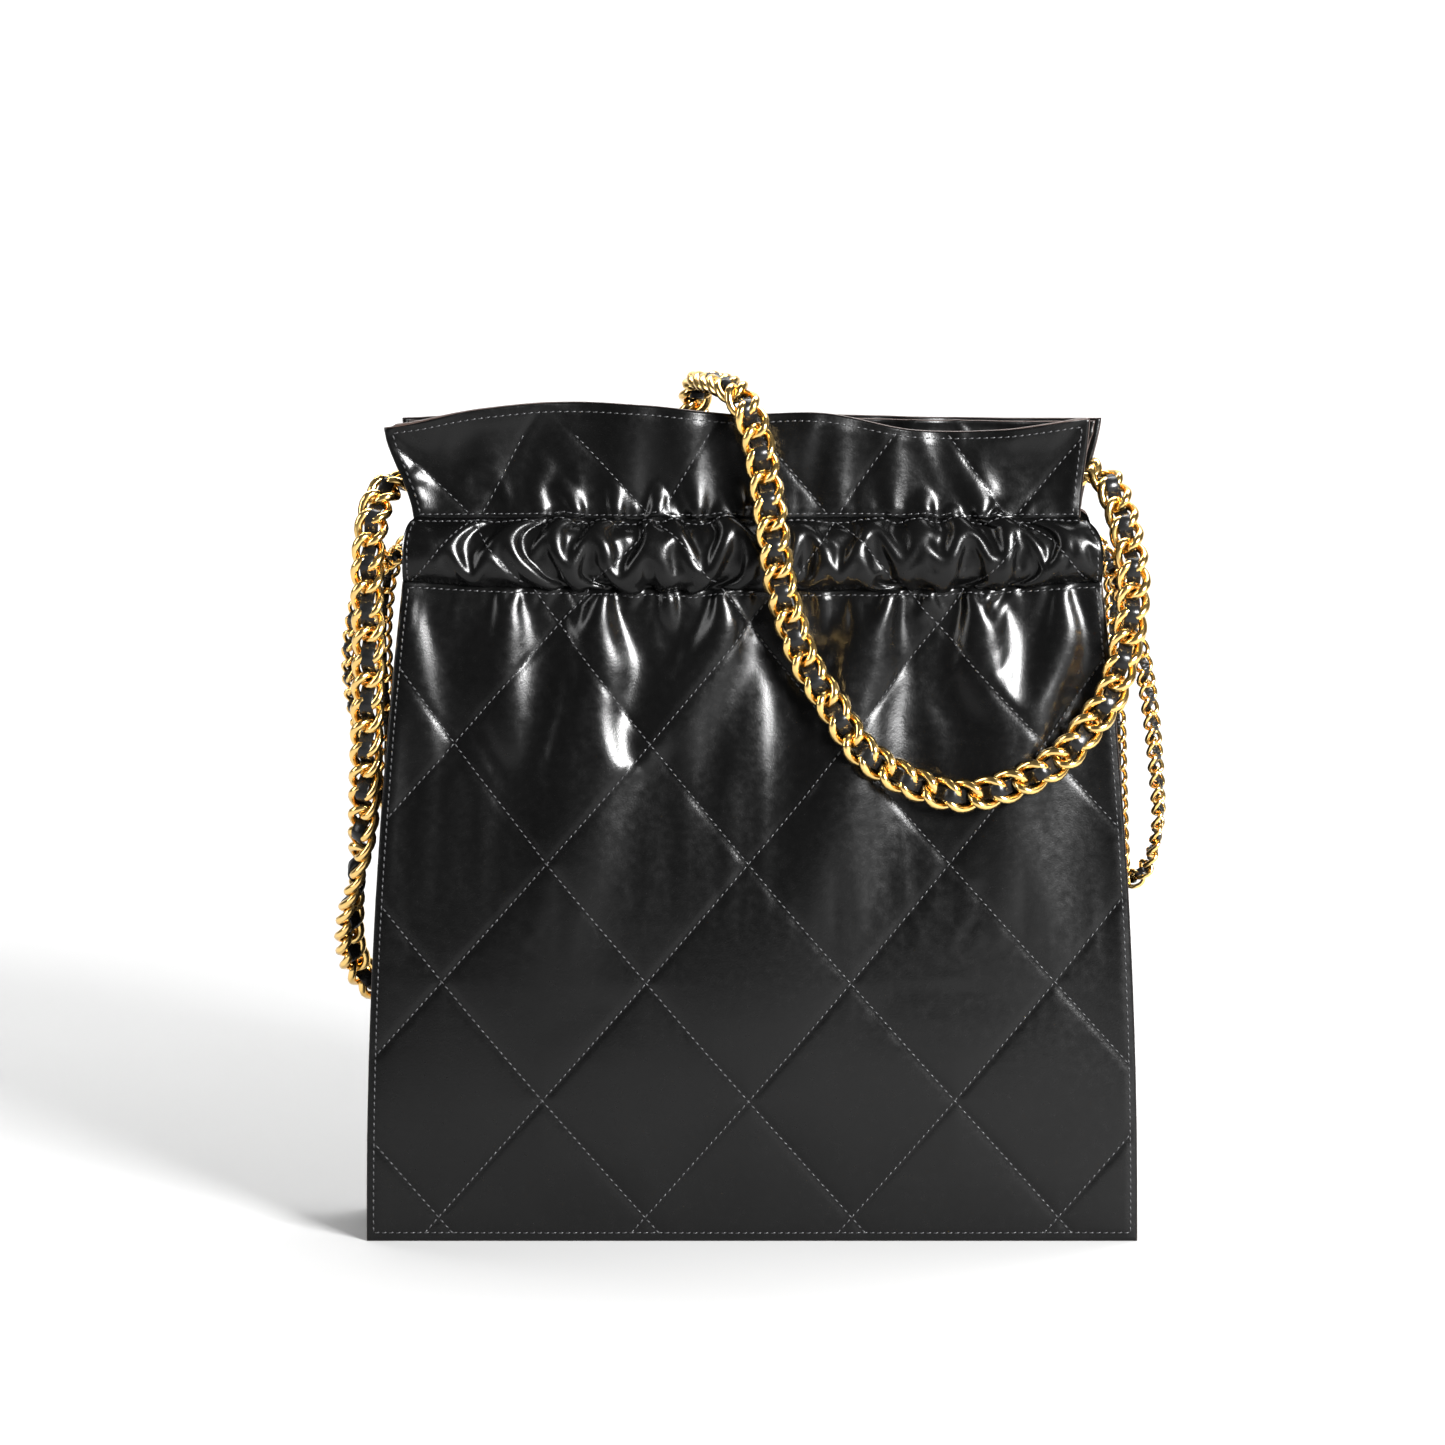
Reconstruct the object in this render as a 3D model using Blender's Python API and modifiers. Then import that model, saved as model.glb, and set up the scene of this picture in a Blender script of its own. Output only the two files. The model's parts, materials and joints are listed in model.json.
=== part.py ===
"""Quilted leather drawstring bag with a gathered top and chain straps.

Metres, +Z up, origin under the middle of the base. The front faces -Y and +X is to its right.
"""

import math

import bmesh
import bpy
from mathutils import Vector

OBJECT_NAME = "drawstring_bag"

# Driving dimensions
BASE_HALF_WIDTH = 0.175
BASE_HALF_DEPTH = 0.038
SEAM_HALF_DEPTH = 0.030  # at the casing's lower seam
SEAM_HEIGHT = 0.300  # where the body ends and the casing starts
WIDTH_TAPER = 0.2  # half width lost per square metre of height
BELLY = 0.007  # how far the filled body stands out in the middle
BELLY_TOP = 0.260
SIDE_FOLD = 0.012  # how far the gusset folds in at the casing's lower seam
PANEL_EDGE = 0.0035  # seam allowance outside the gusset

GAP = 0.0003
LEATHER = 0.0013
PADDING = 0.0014
LINING = 0.0006
GUSSET = 0.0016
POUCH_OFFSET = LEATHER + PADDING + 3 * GAP
POUCH = 0.0012
LINING_OFFSET = POUCH_OFFSET + POUCH + GAP
WELT_OFFSET = LINING_OFFSET + LINING + GAP
WELT = 0.0012
TAPE = 0.0008
BOARD_THICKNESS = 0.0016
BOARD_INSET = 0.0060  # from the base panel's ends; a little less at its long sides
LINING_FOOT = 0.0056
LINING_TRIM = 0.0020  # below the casing's seam
PADDING_TRIM = 0.0080  # clear of the gusset's fold

CASING_RADIUS_Y = 0.0095
CASING_RADIUS_Z = 0.0140
CASING_WALL = 0.0016
CASING_Y = 0.028
CASING_Z = SEAM_HEIGHT + GAP + CASING_RADIUS_Z
CASING_HALF_LENGTH = 0.1575

TOP_HEIGHT = CASING_Z + CASING_RADIUS_Z + 0.0007  # foot of the top bands
TOP_OUTER_Y = 0.0275
TOP_BAND = 0.0020
TOP_FACING = 0.0009
TOP_FLARE = 0.0015  # how far the band leans in before it flares
FRONT_HEM = [0.3690, 0.3770, 0.3805, 0.3790, 0.3750, 0.3755, 0.3680, 0.3680, 0.3730]
BACK_HEM = [0.3720, 0.3735, 0.3745, 0.3740, 0.3735, 0.3735, 0.3740, 0.3735, 0.3725]
FRONT_FOOT_X = (-0.152, 0.147)
FRONT_HEM_X = (-0.165, 0.151)
BACK_FOOT_X = (-0.151, 0.151)
BACK_HEM_X = (-0.160, 0.160)
TOP_FOLD = 0.022  # the gusset's inward fold between the top bands
TOP_FOLD_HALF_DEPTH = 0.0222
CASING_FOLD_HALF_DEPTH = 0.0178
GUSSET_TOP_HEIGHT = 0.365

STRAP_HEIGHT = 0.343
TAB_SIZE = (0.0100, 0.0024, 0.0130)
TAB_STANDOFF = 0.0040  # clear of the fold behind it
TAB_HOLE_RADIUS = 0.0022
TAB_HOLE_INSET = 0.0035
RING_RADIUS = 0.0050
RING_WIRE = 0.00125
SHOULDER_CHAIN_RADIUS = 0.0055
DRAWSTRING_RADIUS = 0.0040

ZIP_HEIGHT = 0.255
ZIP_HALF_LENGTH = 0.080
ZIP_SLOT_HALF_HEIGHT = 0.0045
WELT_MARGIN_X = 0.0070
WELT_HALF_HEIGHT = 0.0105
POUCH_HALF_WIDTH = 0.088
POUCH_FOOT = 0.130
SLIDER_START_X = -0.070
SLIDER_SIZE = (0.0090, 0.0030, 0.0060)
SLIDER_FACE_Y = 0.0208  # the side that looks into the bag
PULL_PIVOT_Y = SLIDER_FACE_Y - 0.0023
PULL_LENGTH = 0.022

# Routes of the free chain stretches, from where each leaves the bag to where it goes back in
SHOULDER_FRONT_ROUTE = [
    (0.1475, 0.0000, 0.3430), (0.1520, -0.0020, 0.3470), (0.1600, -0.0080, 0.3445),
    (0.1655, -0.0170, 0.3330), (0.1690, -0.0260, 0.3180), (0.1710, -0.0330, 0.3030),
    (0.1700, -0.0370, 0.2850), (0.1665, -0.0395, 0.2685), (0.1610, -0.0410, 0.2506),
    (0.1517, -0.0415, 0.2370), (0.1403, -0.0425, 0.2233), (0.1220, -0.0435, 0.2120),
    (0.0948, -0.0445, 0.2050), (0.0697, -0.0445, 0.2120), (0.0492, -0.0440, 0.2256),
    (0.0355, -0.0425, 0.2460), (0.0242, -0.0415, 0.2643), (0.0173, -0.0425, 0.2825),
    (0.0120, -0.0450, 0.3030), (0.0095, -0.0450, 0.3200), (0.0070, -0.0410, 0.3380),
    (0.0040, -0.0375, 0.3550), (0.0005, -0.0375, 0.3705), (-0.0055, -0.0330, 0.3830),
    (-0.0123, -0.0180, 0.3875), (-0.0180, -0.0006, 0.3880),
]
SHOULDER_BACK_ROUTE = [
    (-0.0180, 0.0006, 0.3880), (-0.0225, 0.0180, 0.3875), (-0.0255, 0.0325, 0.3815),
    (-0.0275, 0.0410, 0.3670), (-0.0290, 0.0445, 0.3450), (-0.0310, 0.0455, 0.3150),
    (-0.0340, 0.0435, 0.2800), (-0.0380, 0.0430, 0.2400), (-0.0440, 0.0450, 0.2000),
    (-0.0540, 0.0485, 0.1600), (-0.0680, 0.0500, 0.1250), (-0.0870, 0.0500, 0.0990),
    (-0.1100, 0.0490, 0.0860), (-0.1340, 0.0480, 0.0840), (-0.1560, 0.0470, 0.0910),
    (-0.1730, 0.0465, 0.1010), (-0.1830, 0.0385, 0.1130), (-0.1860, 0.0250, 0.1276),
    (-0.1845, 0.0120, 0.1450), (-0.1805, -0.0010, 0.1650), (-0.1770, -0.0120, 0.1880),
    (-0.1750, -0.0210, 0.2150), (-0.1735, -0.0260, 0.2460), (-0.1725, -0.0290, 0.2730),
    (-0.1730, -0.0300, 0.2980), (-0.1720, -0.0270, 0.3180), (-0.1695, -0.0190, 0.3330),
    (-0.1640, -0.0080, 0.3415), (-0.1570, 0.0000, 0.3430),
]
RIGHT_LOOP_ROUTE = [
    (0.1360, -0.0280, 0.3143), (0.1520, -0.0280, 0.3143), (0.1575, -0.0278, 0.3125),
    (0.1625, -0.0255, 0.3045),
    (0.1662, -0.0220, 0.2950), (0.1705, -0.0180, 0.2835), (0.1765, -0.0150, 0.2640),
    (0.1812, -0.0120, 0.2370), (0.1845, -0.0090, 0.2050), (0.1852, -0.0050, 0.1870),
    (0.1820, 0.0000, 0.1695), (0.1757, 0.0060, 0.1600), (0.1705, 0.0115, 0.1610),
    (0.1695, 0.0150, 0.1730), (0.1685, 0.0165, 0.2005), (0.1677, 0.0175, 0.2280),
    (0.1665, 0.0185, 0.2506), (0.1660, 0.0200, 0.2720), (0.1662, 0.0225, 0.2920),
    (0.1632, 0.0262, 0.3060), (0.1575, 0.0278, 0.3127), (0.1520, 0.0280, 0.3143),
    (0.1360, 0.0280, 0.3143),
]
LEFT_LOOP_ROUTE = [
    (-0.1360, -0.0280, 0.3143), (-0.1520, -0.0280, 0.3143), (-0.1585, -0.0265, 0.3127),
    (-0.1645, -0.0210, 0.3085),
    (-0.1715, -0.0150, 0.3020), (-0.1777, -0.0105, 0.2920), (-0.1822, -0.0085, 0.2730),
    (-0.1830, -0.0075, 0.2550), (-0.1805, -0.0055, 0.2370), (-0.1760, -0.0020, 0.2200),
    (-0.1715, 0.0030, 0.2040), (-0.1690, 0.0090, 0.1960), (-0.1675, 0.0140, 0.2000),
    (-0.1670, 0.0170, 0.2145), (-0.1675, 0.0180, 0.2350), (-0.1690, 0.0185, 0.2550),
    (-0.1695, 0.0190, 0.2720), (-0.1685, 0.0205, 0.2860), (-0.1670, 0.0230, 0.2970),
    (-0.1632, 0.0262, 0.3065), (-0.1575, 0.0278, 0.3127), (-0.1520, 0.0280, 0.3143),
    (-0.1360, 0.0280, 0.3143),
]
CASING_RUN_HALF_LENGTH = 0.1355

FRONT, BACK = -1, 1
LEFT, RIGHT = -1, 1

BLACK_CALF = ("black_calf", (0.012, 0.012, 0.013), 0.22, 0.0)
BLACK_LINING = ("black_lining", (0.020, 0.020, 0.022), 0.80, 0.0)
GOLD_METAL = ("gold_metal", (0.83, 0.60, 0.25), 0.22, 1.0)
PADDING_FELT = ("padding_felt", (0.55, 0.54, 0.50), 0.90, 0.0)
BOARD = ("board", (0.28, 0.20, 0.13), 0.80, 0.0)
ZIP_TAPE = ("zip_tape", (0.015, 0.015, 0.016), 0.75, 0.0)


def clear_scene():
    for obj in list(bpy.data.objects):
        bpy.data.objects.remove(obj, do_unlink=True)


def make_collection(name):
    collection = bpy.data.collections.new(name)
    bpy.context.scene.collection.children.link(collection)
    return collection


def material_for(finish):
    name, color, roughness, metallic = finish
    if name in bpy.data.materials:
        return bpy.data.materials[name]
    material = bpy.data.materials.new(name)
    material.use_nodes = True
    shader = material.node_tree.nodes["Principled BSDF"]
    shader.inputs["Base Color"].default_value = (*color, 1.0)
    shader.inputs["Roughness"].default_value = roughness
    shader.inputs["Metallic"].default_value = metallic
    return material


def add_object(name, bm, finish, smooth=True):
    mesh = bpy.data.meshes.new(name)
    bm.to_mesh(mesh)
    bm.free()
    if smooth:
        mesh.shade_smooth()
        mesh.set_sharp_from_angle(angle=math.radians(40))
    obj = bpy.data.objects.new(name, mesh)
    obj.data.materials.append(material_for(finish))
    PARTS.objects.link(obj)
    return obj


def thicken(obj, thickness):
    solidify = obj.modifiers.new("thickness", "SOLIDIFY")
    solidify.thickness = thickness
    solidify.offset = -1


def add_sheet(name, columns, rows, place, thickness, finish):
    """A grid laid out by place(u, v), u from -1 to 1 and v from 0 to 1, thickened inwards."""
    bm = bmesh.new()
    bmesh.ops.create_grid(bm, x_segments=columns, y_segments=rows, size=0.5)
    for vertex in bm.verts:
        vertex.co = place(2 * vertex.co.x, vertex.co.y + 0.5)
    obj = add_object(name, bm, finish)
    thicken(obj, thickness)
    return obj


def add_box(name, centre, size, finish, bevel=0.0):
    bm = bmesh.new()
    bmesh.ops.create_cube(bm, size=1.0)
    bmesh.ops.scale(bm, vec=size, verts=bm.verts)
    obj = add_object(name, bm, finish, smooth=False)
    obj.location = centre
    if bevel:
        modifier = obj.modifiers.new("soft_edges", "BEVEL")
        modifier.width = bevel
        modifier.segments = 2
    return obj


def add_helper_cylinder(name, centre, radius, length, axis):
    """A helper whose length runs along axis; it cuts or joins and isn't a part."""
    bm = bmesh.new()
    bmesh.ops.create_cone(
        bm, cap_ends=True, segments=20, radius1=radius, radius2=radius, depth=length
    )
    turn = Vector((0, 0, 1)).rotation_difference(Vector(axis)).to_matrix()
    bmesh.ops.rotate(bm, matrix=turn, verts=bm.verts)
    return link_helper(name, bm, centre)


def add_helper_box(name, centre, size):
    bm = bmesh.new()
    bmesh.ops.create_cube(bm, size=1.0)
    bmesh.ops.scale(bm, vec=size, verts=bm.verts)
    return link_helper(name, bm, centre)


def link_helper(name, bm, centre):
    mesh = bpy.data.meshes.new(name)
    bm.to_mesh(mesh)
    bm.free()
    helper = bpy.data.objects.new(name, mesh)
    helper.location = centre
    helper.hide_render = True
    helper.display_type = "WIRE"
    HELPERS.objects.link(helper)
    return helper


def combine(obj, helper, operation):
    modifier = obj.modifiers.new(helper.name, "BOOLEAN")
    modifier.operation = operation
    modifier.object = helper


def mix(a, b, t):
    return a + (b - a) * t


def through(values, u):
    """Smooth value at u, from -1 to 1, through evenly spaced values."""
    place = (u + 1) / 2 * (len(values) - 1)
    index = min(int(place), len(values) - 2)
    t = place - index
    before = values[max(index - 1, 0)]
    start = values[index]
    end = values[index + 1]
    after = values[min(index + 2, len(values) - 1)]
    bend = 2 * before - 5 * start + 4 * end - after
    twist = 3 * (start - end) + after - before
    return start + 0.5 * t * (end - before + t * (bend + t * twist))


def half_width(z):
    return BASE_HALF_WIDTH - WIDTH_TAPER * z * z


def half_depth(z, u=1.0):
    """Half depth at height z; u is 0 in the panel's middle and 1 at its side edges."""
    edge = mix(BASE_HALF_DEPTH, SEAM_HALF_DEPTH, z / SEAM_HEIGHT)
    belly = BELLY * max(0.0, math.sin(math.pi * z / BELLY_TOP)) if z < BELLY_TOP else 0.0
    return edge + belly * (1 - u * u)


def gusset_reach(z):
    return half_depth(z) - LEATHER - GAP - GUSSET


def gusset_x(y, z):
    fold = SIDE_FOLD * z / SEAM_HEIGHT
    share = min(1.0, abs(y) / gusset_reach(z))
    return half_width(z) - PANEL_EDGE - fold * (1 - share * share)


def add_body_sheet(name, facing, offset, thickness, bounds_x, bounds_z, finish, inset=0.0):
    """A layer of the front or back body wall, offset inwards from the outer face."""

    def place(u, v):
        z = mix(*bounds_z, v)
        if bounds_x is None:
            x = u * (half_width(z) - inset)
        else:
            x = mix(*bounds_x, (u + 1) / 2)
        y = half_depth(z, x / half_width(z)) - offset
        return (-facing * x, facing * y, z)

    return add_sheet(name, 12, 14, place, thickness, finish)


def make_body_walls():
    for side_name, facing in (("front", FRONT), ("back", BACK)):
        add_body_sheet(
            f"{side_name}_panel", facing, 0.0, LEATHER, None, (0.0, SEAM_HEIGHT), BLACK_CALF
        )
        add_body_sheet(
            f"{side_name}_padding",
            facing,
            LEATHER + GAP,
            PADDING,
            None,
            (0.006, SEAM_HEIGHT - 0.004),
            PADDING_FELT,
            inset=PANEL_EDGE + SIDE_FOLD + PADDING_TRIM,
        )


def make_gussets():
    for side_name, side in (("left", LEFT), ("right", RIGHT)):

        def place(u, v):
            z = mix(0.0, SEAM_HEIGHT, v)
            y = u * gusset_reach(z)
            return (side * gusset_x(y, z), side * y, z)

        add_sheet(f"{side_name}_gusset", 10, 14, place, GUSSET, BLACK_CALF)


def make_base():
    base_thickness = 2 * LEATHER
    half_x = BASE_HALF_WIDTH - PANEL_EDGE - GUSSET - 3 * GAP
    half_y = BASE_HALF_DEPTH - LEATHER - 3 * GAP
    add_box(
        "base_panel",
        (0, 0, base_thickness / 2),
        (2 * half_x, 2 * half_y, base_thickness),
        BLACK_CALF,
    )
    add_box(
        "base_board",
        (0, 0, base_thickness + GAP + BOARD_THICKNESS / 2),
        (2 * (half_x - BOARD_INSET), 2 * (half_y - 0.6 * BOARD_INSET), BOARD_THICKNESS),
        BOARD,
    )


def make_lining():
    """An open-topped bag of thin cloth, a little inside the outer walls."""
    top = SEAM_HEIGHT - LINING_TRIM
    bm = bmesh.new()
    bmesh.ops.create_cube(bm, size=1.0)
    bmesh.ops.subdivide_edges(bm, edges=bm.edges[:], cuts=8, use_grid_fill=True)
    lid = [face for face in bm.faces if face.calc_center_median().z > 0.499]
    bmesh.ops.delete(bm, geom=lid, context="FACES")
    for vertex in bm.verts:
        z = mix(LINING_FOOT, top, vertex.co.z + 0.5)
        half_x = gusset_x(0.0, z) - GUSSET - 2 * GAP
        u = 2 * vertex.co.x
        half_y = half_depth(z, u * half_x / half_width(z)) - LINING_OFFSET
        vertex.co = (u * half_x, 2 * vertex.co.y * half_y, z)
    lining = add_object("lining_bag", bm, BLACK_LINING)
    thicken(lining, LINING)
    slot = (2 * ZIP_HALF_LENGTH - 0.002, 0.020, 2 * ZIP_SLOT_HALF_HEIGHT - 0.001)
    back_wall_y = half_depth(ZIP_HEIGHT) - LINING_OFFSET
    cutter = add_helper_box("lining_slot", (0, back_wall_y, ZIP_HEIGHT), slot)
    combine(lining, cutter, "DIFFERENCE")


def make_casings():
    for side_name, facing in (("front", FRONT), ("back", BACK)):
        bm = bmesh.new()
        bmesh.ops.create_cone(
            bm, cap_ends=False, segments=28, radius1=1, radius2=1, depth=2
        )
        for vertex in bm.verts:
            across, up, along = vertex.co
            vertex.co = (
                along * CASING_HALF_LENGTH,
                facing * CASING_Y + across * CASING_RADIUS_Y,
                CASING_Z + up * CASING_RADIUS_Z,
            )
        casing = add_object(f"{side_name}_casing", bm, BLACK_CALF)
        thicken(casing, CASING_WALL)


def add_top_sheet(name, facing, offset, thickness, lower_trim, inset, finish):
    """The gathered band above the casing, or the facing inside it."""
    hem = FRONT_HEM if facing == FRONT else BACK_HEM
    foot_x = FRONT_FOOT_X if facing == FRONT else BACK_FOOT_X
    hem_x = FRONT_HEM_X if facing == FRONT else BACK_HEM_X

    def place(u, v):
        x_share = (1 - facing * u) / 2
        left = mix(foot_x[0], hem_x[0], v) + inset
        right = mix(foot_x[1], hem_x[1], v) - inset
        z = mix(TOP_HEIGHT, through(hem, 2 * x_share - 1) - lower_trim, v)
        y = TOP_OUTER_Y - TOP_FLARE * math.sin(math.pi * v) - offset
        return (mix(left, right, x_share), facing * y, z)

    return add_sheet(name, 24, 5, place, thickness, finish)


def make_top_bands():
    for side_name, facing in (("front", FRONT), ("back", BACK)):
        add_top_sheet(f"{side_name}_top_band", facing, 0.0, TOP_BAND, 0.0, 0.0, BLACK_CALF)
        add_top_sheet(
            f"{side_name}_top_facing",
            facing,
            TOP_BAND + GAP,
            TOP_FACING,
            0.0015,
            0.002,
            BLACK_CALF,
        )


def top_edge_x(side, z):
    """Where the gusset's edges meet the shorter top band, at height z."""
    v = max(0.0, (z - TOP_HEIGHT) / (GUSSET_TOP_HEIGHT - TOP_HEIGHT))
    index = 0 if side == LEFT else 1
    return abs(mix(FRONT_FOOT_X[index], FRONT_HEM_X[index], v)) - 0.004


def top_fold_x(side, y, z):
    """Distance from the middle to the gusset's inward fold above the body."""
    v = max(0.0, (z - SEAM_HEIGHT) / (GUSSET_TOP_HEIGHT - SEAM_HEIGHT))
    fold = mix(SIDE_FOLD, TOP_FOLD, min(1.0, 2 * v))
    depth = CASING_FOLD_HALF_DEPTH if z < TOP_HEIGHT else TOP_FOLD_HALF_DEPTH
    return top_edge_x(side, z) - fold * (1 - min(1.0, abs(y) / depth))


def make_gusset_tops():
    foot = SEAM_HEIGHT + 2 * GAP
    for side_name, side in (("left", LEFT), ("right", RIGHT)):

        def place(u, v):
            z = mix(foot, GUSSET_TOP_HEIGHT, v)
            above_casing = z > TOP_HEIGHT + 0.001
            depth = TOP_FOLD_HALF_DEPTH if above_casing else CASING_FOLD_HALF_DEPTH
            reach = depth - GUSSET
            y = u * reach
            return (side * top_fold_x(side, y, z), side * y, z)

        add_sheet(f"{side_name}_gusset_top", 4, 12, place, GUSSET, BLACK_CALF)


def make_strap_anchors():
    for side_name, side in (("left", LEFT), ("right", RIGHT)):
        valley = top_fold_x(side, 0.0, STRAP_HEIGHT)
        tab_start = valley + TAB_STANDOFF
        tab_x = tab_start + TAB_SIZE[0] / 2
        hole_x = tab_start + TAB_SIZE[0] - TAB_HOLE_INSET
        tab = add_box(
            f"{side_name}_strap_tab", (side * tab_x, 0, STRAP_HEIGHT), TAB_SIZE, BLACK_CALF
        )
        hole = add_helper_cylinder(
            f"{side_name}_tab_hole",
            (side * hole_x, 0, STRAP_HEIGHT),
            TAB_HOLE_RADIUS,
            3 * TAB_SIZE[1],
            (0, 1, 0),
        )
        combine(tab, hole, "DIFFERENCE")
        bpy.ops.mesh.primitive_torus_add(
            major_radius=RING_RADIUS,
            minor_radius=RING_WIRE,
            major_segments=28,
            minor_segments=10,
            location=(side * (hole_x + RING_RADIUS), 0, STRAP_HEIGHT),
        )
        ring = bpy.context.object
        ring.name = f"{side_name}_strap_ring"
        ring.data.materials.append(material_for(GOLD_METAL))
        ring.data.shade_smooth()
        for collection in list(ring.users_collection):
            collection.objects.unlink(ring)
        PARTS.objects.link(ring)


def smooth_route(route, spacing):
    """Evenly spaced points on a smooth curve through the route's points."""
    points = [Vector(point) for point in route]
    padded = [2 * points[0] - points[1], *points, 2 * points[-1] - points[-2]]
    dense = []
    steps = 12
    for i in range(1, len(padded) - 2):
        a, b, c, d = padded[i - 1 : i + 3]
        for step in range(steps):
            t = step / steps
            bend = 2 * a - 5 * b + 4 * c - d
            twist = 3 * (b - c) + d - a
            dense.append(b + 0.5 * t * (c - a + t * (bend + t * twist)))
    dense.append(points[-1])
    lengths = [0.0]
    for start, end in zip(dense, dense[1:]):
        lengths.append(lengths[-1] + (end - start).length)
    count = max(2, round(lengths[-1] / spacing))
    even = []
    index = 0
    for k in range(count + 1):
        wanted = lengths[-1] * k / count
        while index < len(lengths) - 2 and lengths[index + 1] < wanted:
            index += 1
        share = (wanted - lengths[index]) / (lengths[index + 1] - lengths[index])
        even.append(dense[index].lerp(dense[index + 1], share))
    return even


def add_tube(name, points, radius, finish):
    curve = bpy.data.curves.new(name, "CURVE")
    curve.dimensions = "3D"
    curve.bevel_depth = radius
    curve.bevel_resolution = 2
    curve.use_fill_caps = True
    spline = curve.splines.new("POLY")
    spline.points.add(len(points) - 1)
    for spline_point, point in zip(spline.points, points):
        spline_point.co = (*point, 1.0)
    tube = bpy.data.objects.new(name, curve)
    tube.data.materials.append(material_for(finish))
    PARTS.objects.link(tube)
    return tube


def make_chains():
    shoulder_spacing = 0.022
    loop_spacing = 0.016
    for name, route, radius, spacing in (
        ("shoulder_chain_front", SHOULDER_FRONT_ROUTE, SHOULDER_CHAIN_RADIUS, shoulder_spacing),
        ("shoulder_chain_back", SHOULDER_BACK_ROUTE, SHOULDER_CHAIN_RADIUS, shoulder_spacing),
        ("drawstring_right_loop", RIGHT_LOOP_ROUTE, DRAWSTRING_RADIUS, loop_spacing),
        ("drawstring_left_loop", LEFT_LOOP_ROUTE, DRAWSTRING_RADIUS, loop_spacing),
    ):
        add_tube(name, smooth_route(route, spacing), radius, GOLD_METAL)
    for side_name, facing in (("front", FRONT), ("back", BACK)):
        ends = [
            Vector((side * CASING_RUN_HALF_LENGTH, facing * CASING_Y, CASING_Z))
            for side in (LEFT, RIGHT)
        ]
        add_tube(f"drawstring_{side_name}_run", ends, DRAWSTRING_RADIUS, GOLD_METAL)


def make_zip_pocket():
    tape_end = ZIP_HALF_LENGTH - 2 * GAP
    welt_end = ZIP_HALF_LENGTH + WELT_MARGIN_X
    add_body_sheet(
        "pocket_pouch",
        BACK,
        POUCH_OFFSET,
        POUCH,
        (-POUCH_HALF_WIDTH, POUCH_HALF_WIDTH),
        (POUCH_FOOT, ZIP_HEIGHT + WELT_HALF_HEIGHT),
        BLACK_LINING,
    )
    welt = add_body_sheet(
        "pocket_welt",
        BACK,
        WELT_OFFSET,
        WELT,
        (-welt_end, welt_end),
        (ZIP_HEIGHT - WELT_HALF_HEIGHT, ZIP_HEIGHT + WELT_HALF_HEIGHT),
        BLACK_CALF,
    )
    welt_y = half_depth(ZIP_HEIGHT) - WELT_OFFSET
    slot = (2 * ZIP_HALF_LENGTH, 0.020, 2 * ZIP_SLOT_HALF_HEIGHT)
    cutter = add_helper_box("welt_slot", (0, welt_y, ZIP_HEIGHT), slot)
    combine(welt, cutter, "DIFFERENCE")
    tape_near = 0.0002
    tape_far = ZIP_SLOT_HALF_HEIGHT - GAP
    for name, low, high in (
        ("zip_tape_lower", -tape_far, -tape_near),
        ("zip_tape_upper", tape_near, tape_far),
    ):
        add_body_sheet(
            name,
            BACK,
            WELT_OFFSET,
            TAPE,
            (-tape_end, tape_end),
            (ZIP_HEIGHT + low, ZIP_HEIGHT + high),
            ZIP_TAPE,
        )
    stop_size = (0.0016, 0.0012, 0.0050)
    stop_y = welt_y - TAPE - 2 * GAP - stop_size[1] / 2
    for side_name, side in (("left", LEFT), ("right", RIGHT)):
        stop_x = side * (ZIP_HALF_LENGTH - 0.0030)
        add_box(f"zip_stop_{side_name}", (stop_x, stop_y, ZIP_HEIGHT), stop_size, GOLD_METAL)
    make_slider()
    make_pull()


def make_slider():
    body_y = SLIDER_FACE_Y + SLIDER_SIZE[1] / 2
    slider = add_box(
        "zip_slider", (SLIDER_START_X, body_y, ZIP_HEIGHT), SLIDER_SIZE, GOLD_METAL
    )
    ear_size = (0.0010, 0.0042, 0.0030)
    ear_x = 0.0034
    for side in (LEFT, RIGHT):
        ear_centre = (
            SLIDER_START_X + side * ear_x,
            SLIDER_FACE_Y - ear_size[1] / 2 + 0.0008,
            ZIP_HEIGHT,
        )
        ear = add_helper_box(f"slider_ear_{side}", ear_centre, ear_size)
        combine(slider, ear, "UNION")
    pin_centre = (SLIDER_START_X, PULL_PIVOT_Y, ZIP_HEIGHT)
    pin = add_helper_cylinder("slider_pin", pin_centre, 0.0007, 2 * ear_x, (1, 0, 0))
    combine(slider, pin, "UNION")


def make_pull():
    """A flat tab that swings on the slider's pin."""
    tab_width = 0.0048
    tab_thickness = 0.0012
    bm = bmesh.new()
    bmesh.ops.create_cube(bm, size=1.0)
    bmesh.ops.scale(bm, vec=(tab_width, tab_thickness, PULL_LENGTH), verts=bm.verts)
    bmesh.ops.translate(bm, vec=(0, 0, -PULL_LENGTH / 2), verts=bm.verts)
    pull = add_object("zip_pull", bm, GOLD_METAL, smooth=False)
    pivot = (SLIDER_START_X, PULL_PIVOT_Y, ZIP_HEIGHT)
    pull.location = pivot
    barrel = add_helper_cylinder("pull_barrel", pivot, 0.0020, tab_width, (1, 0, 0))
    combine(pull, barrel, "UNION")
    bore = add_helper_cylinder("pull_bore", pivot, 0.0011, 2 * tab_width, (1, 0, 0))
    combine(pull, bore, "DIFFERENCE")


clear_scene()
PARTS = make_collection(OBJECT_NAME)
HELPERS = make_collection("cutters_and_helpers")
HELPERS.hide_render = True
make_body_walls()
make_gussets()
make_base()
make_lining()
make_casings()
make_top_bands()
make_gusset_tops()
make_strap_anchors()
make_chains()
make_zip_pocket()
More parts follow.
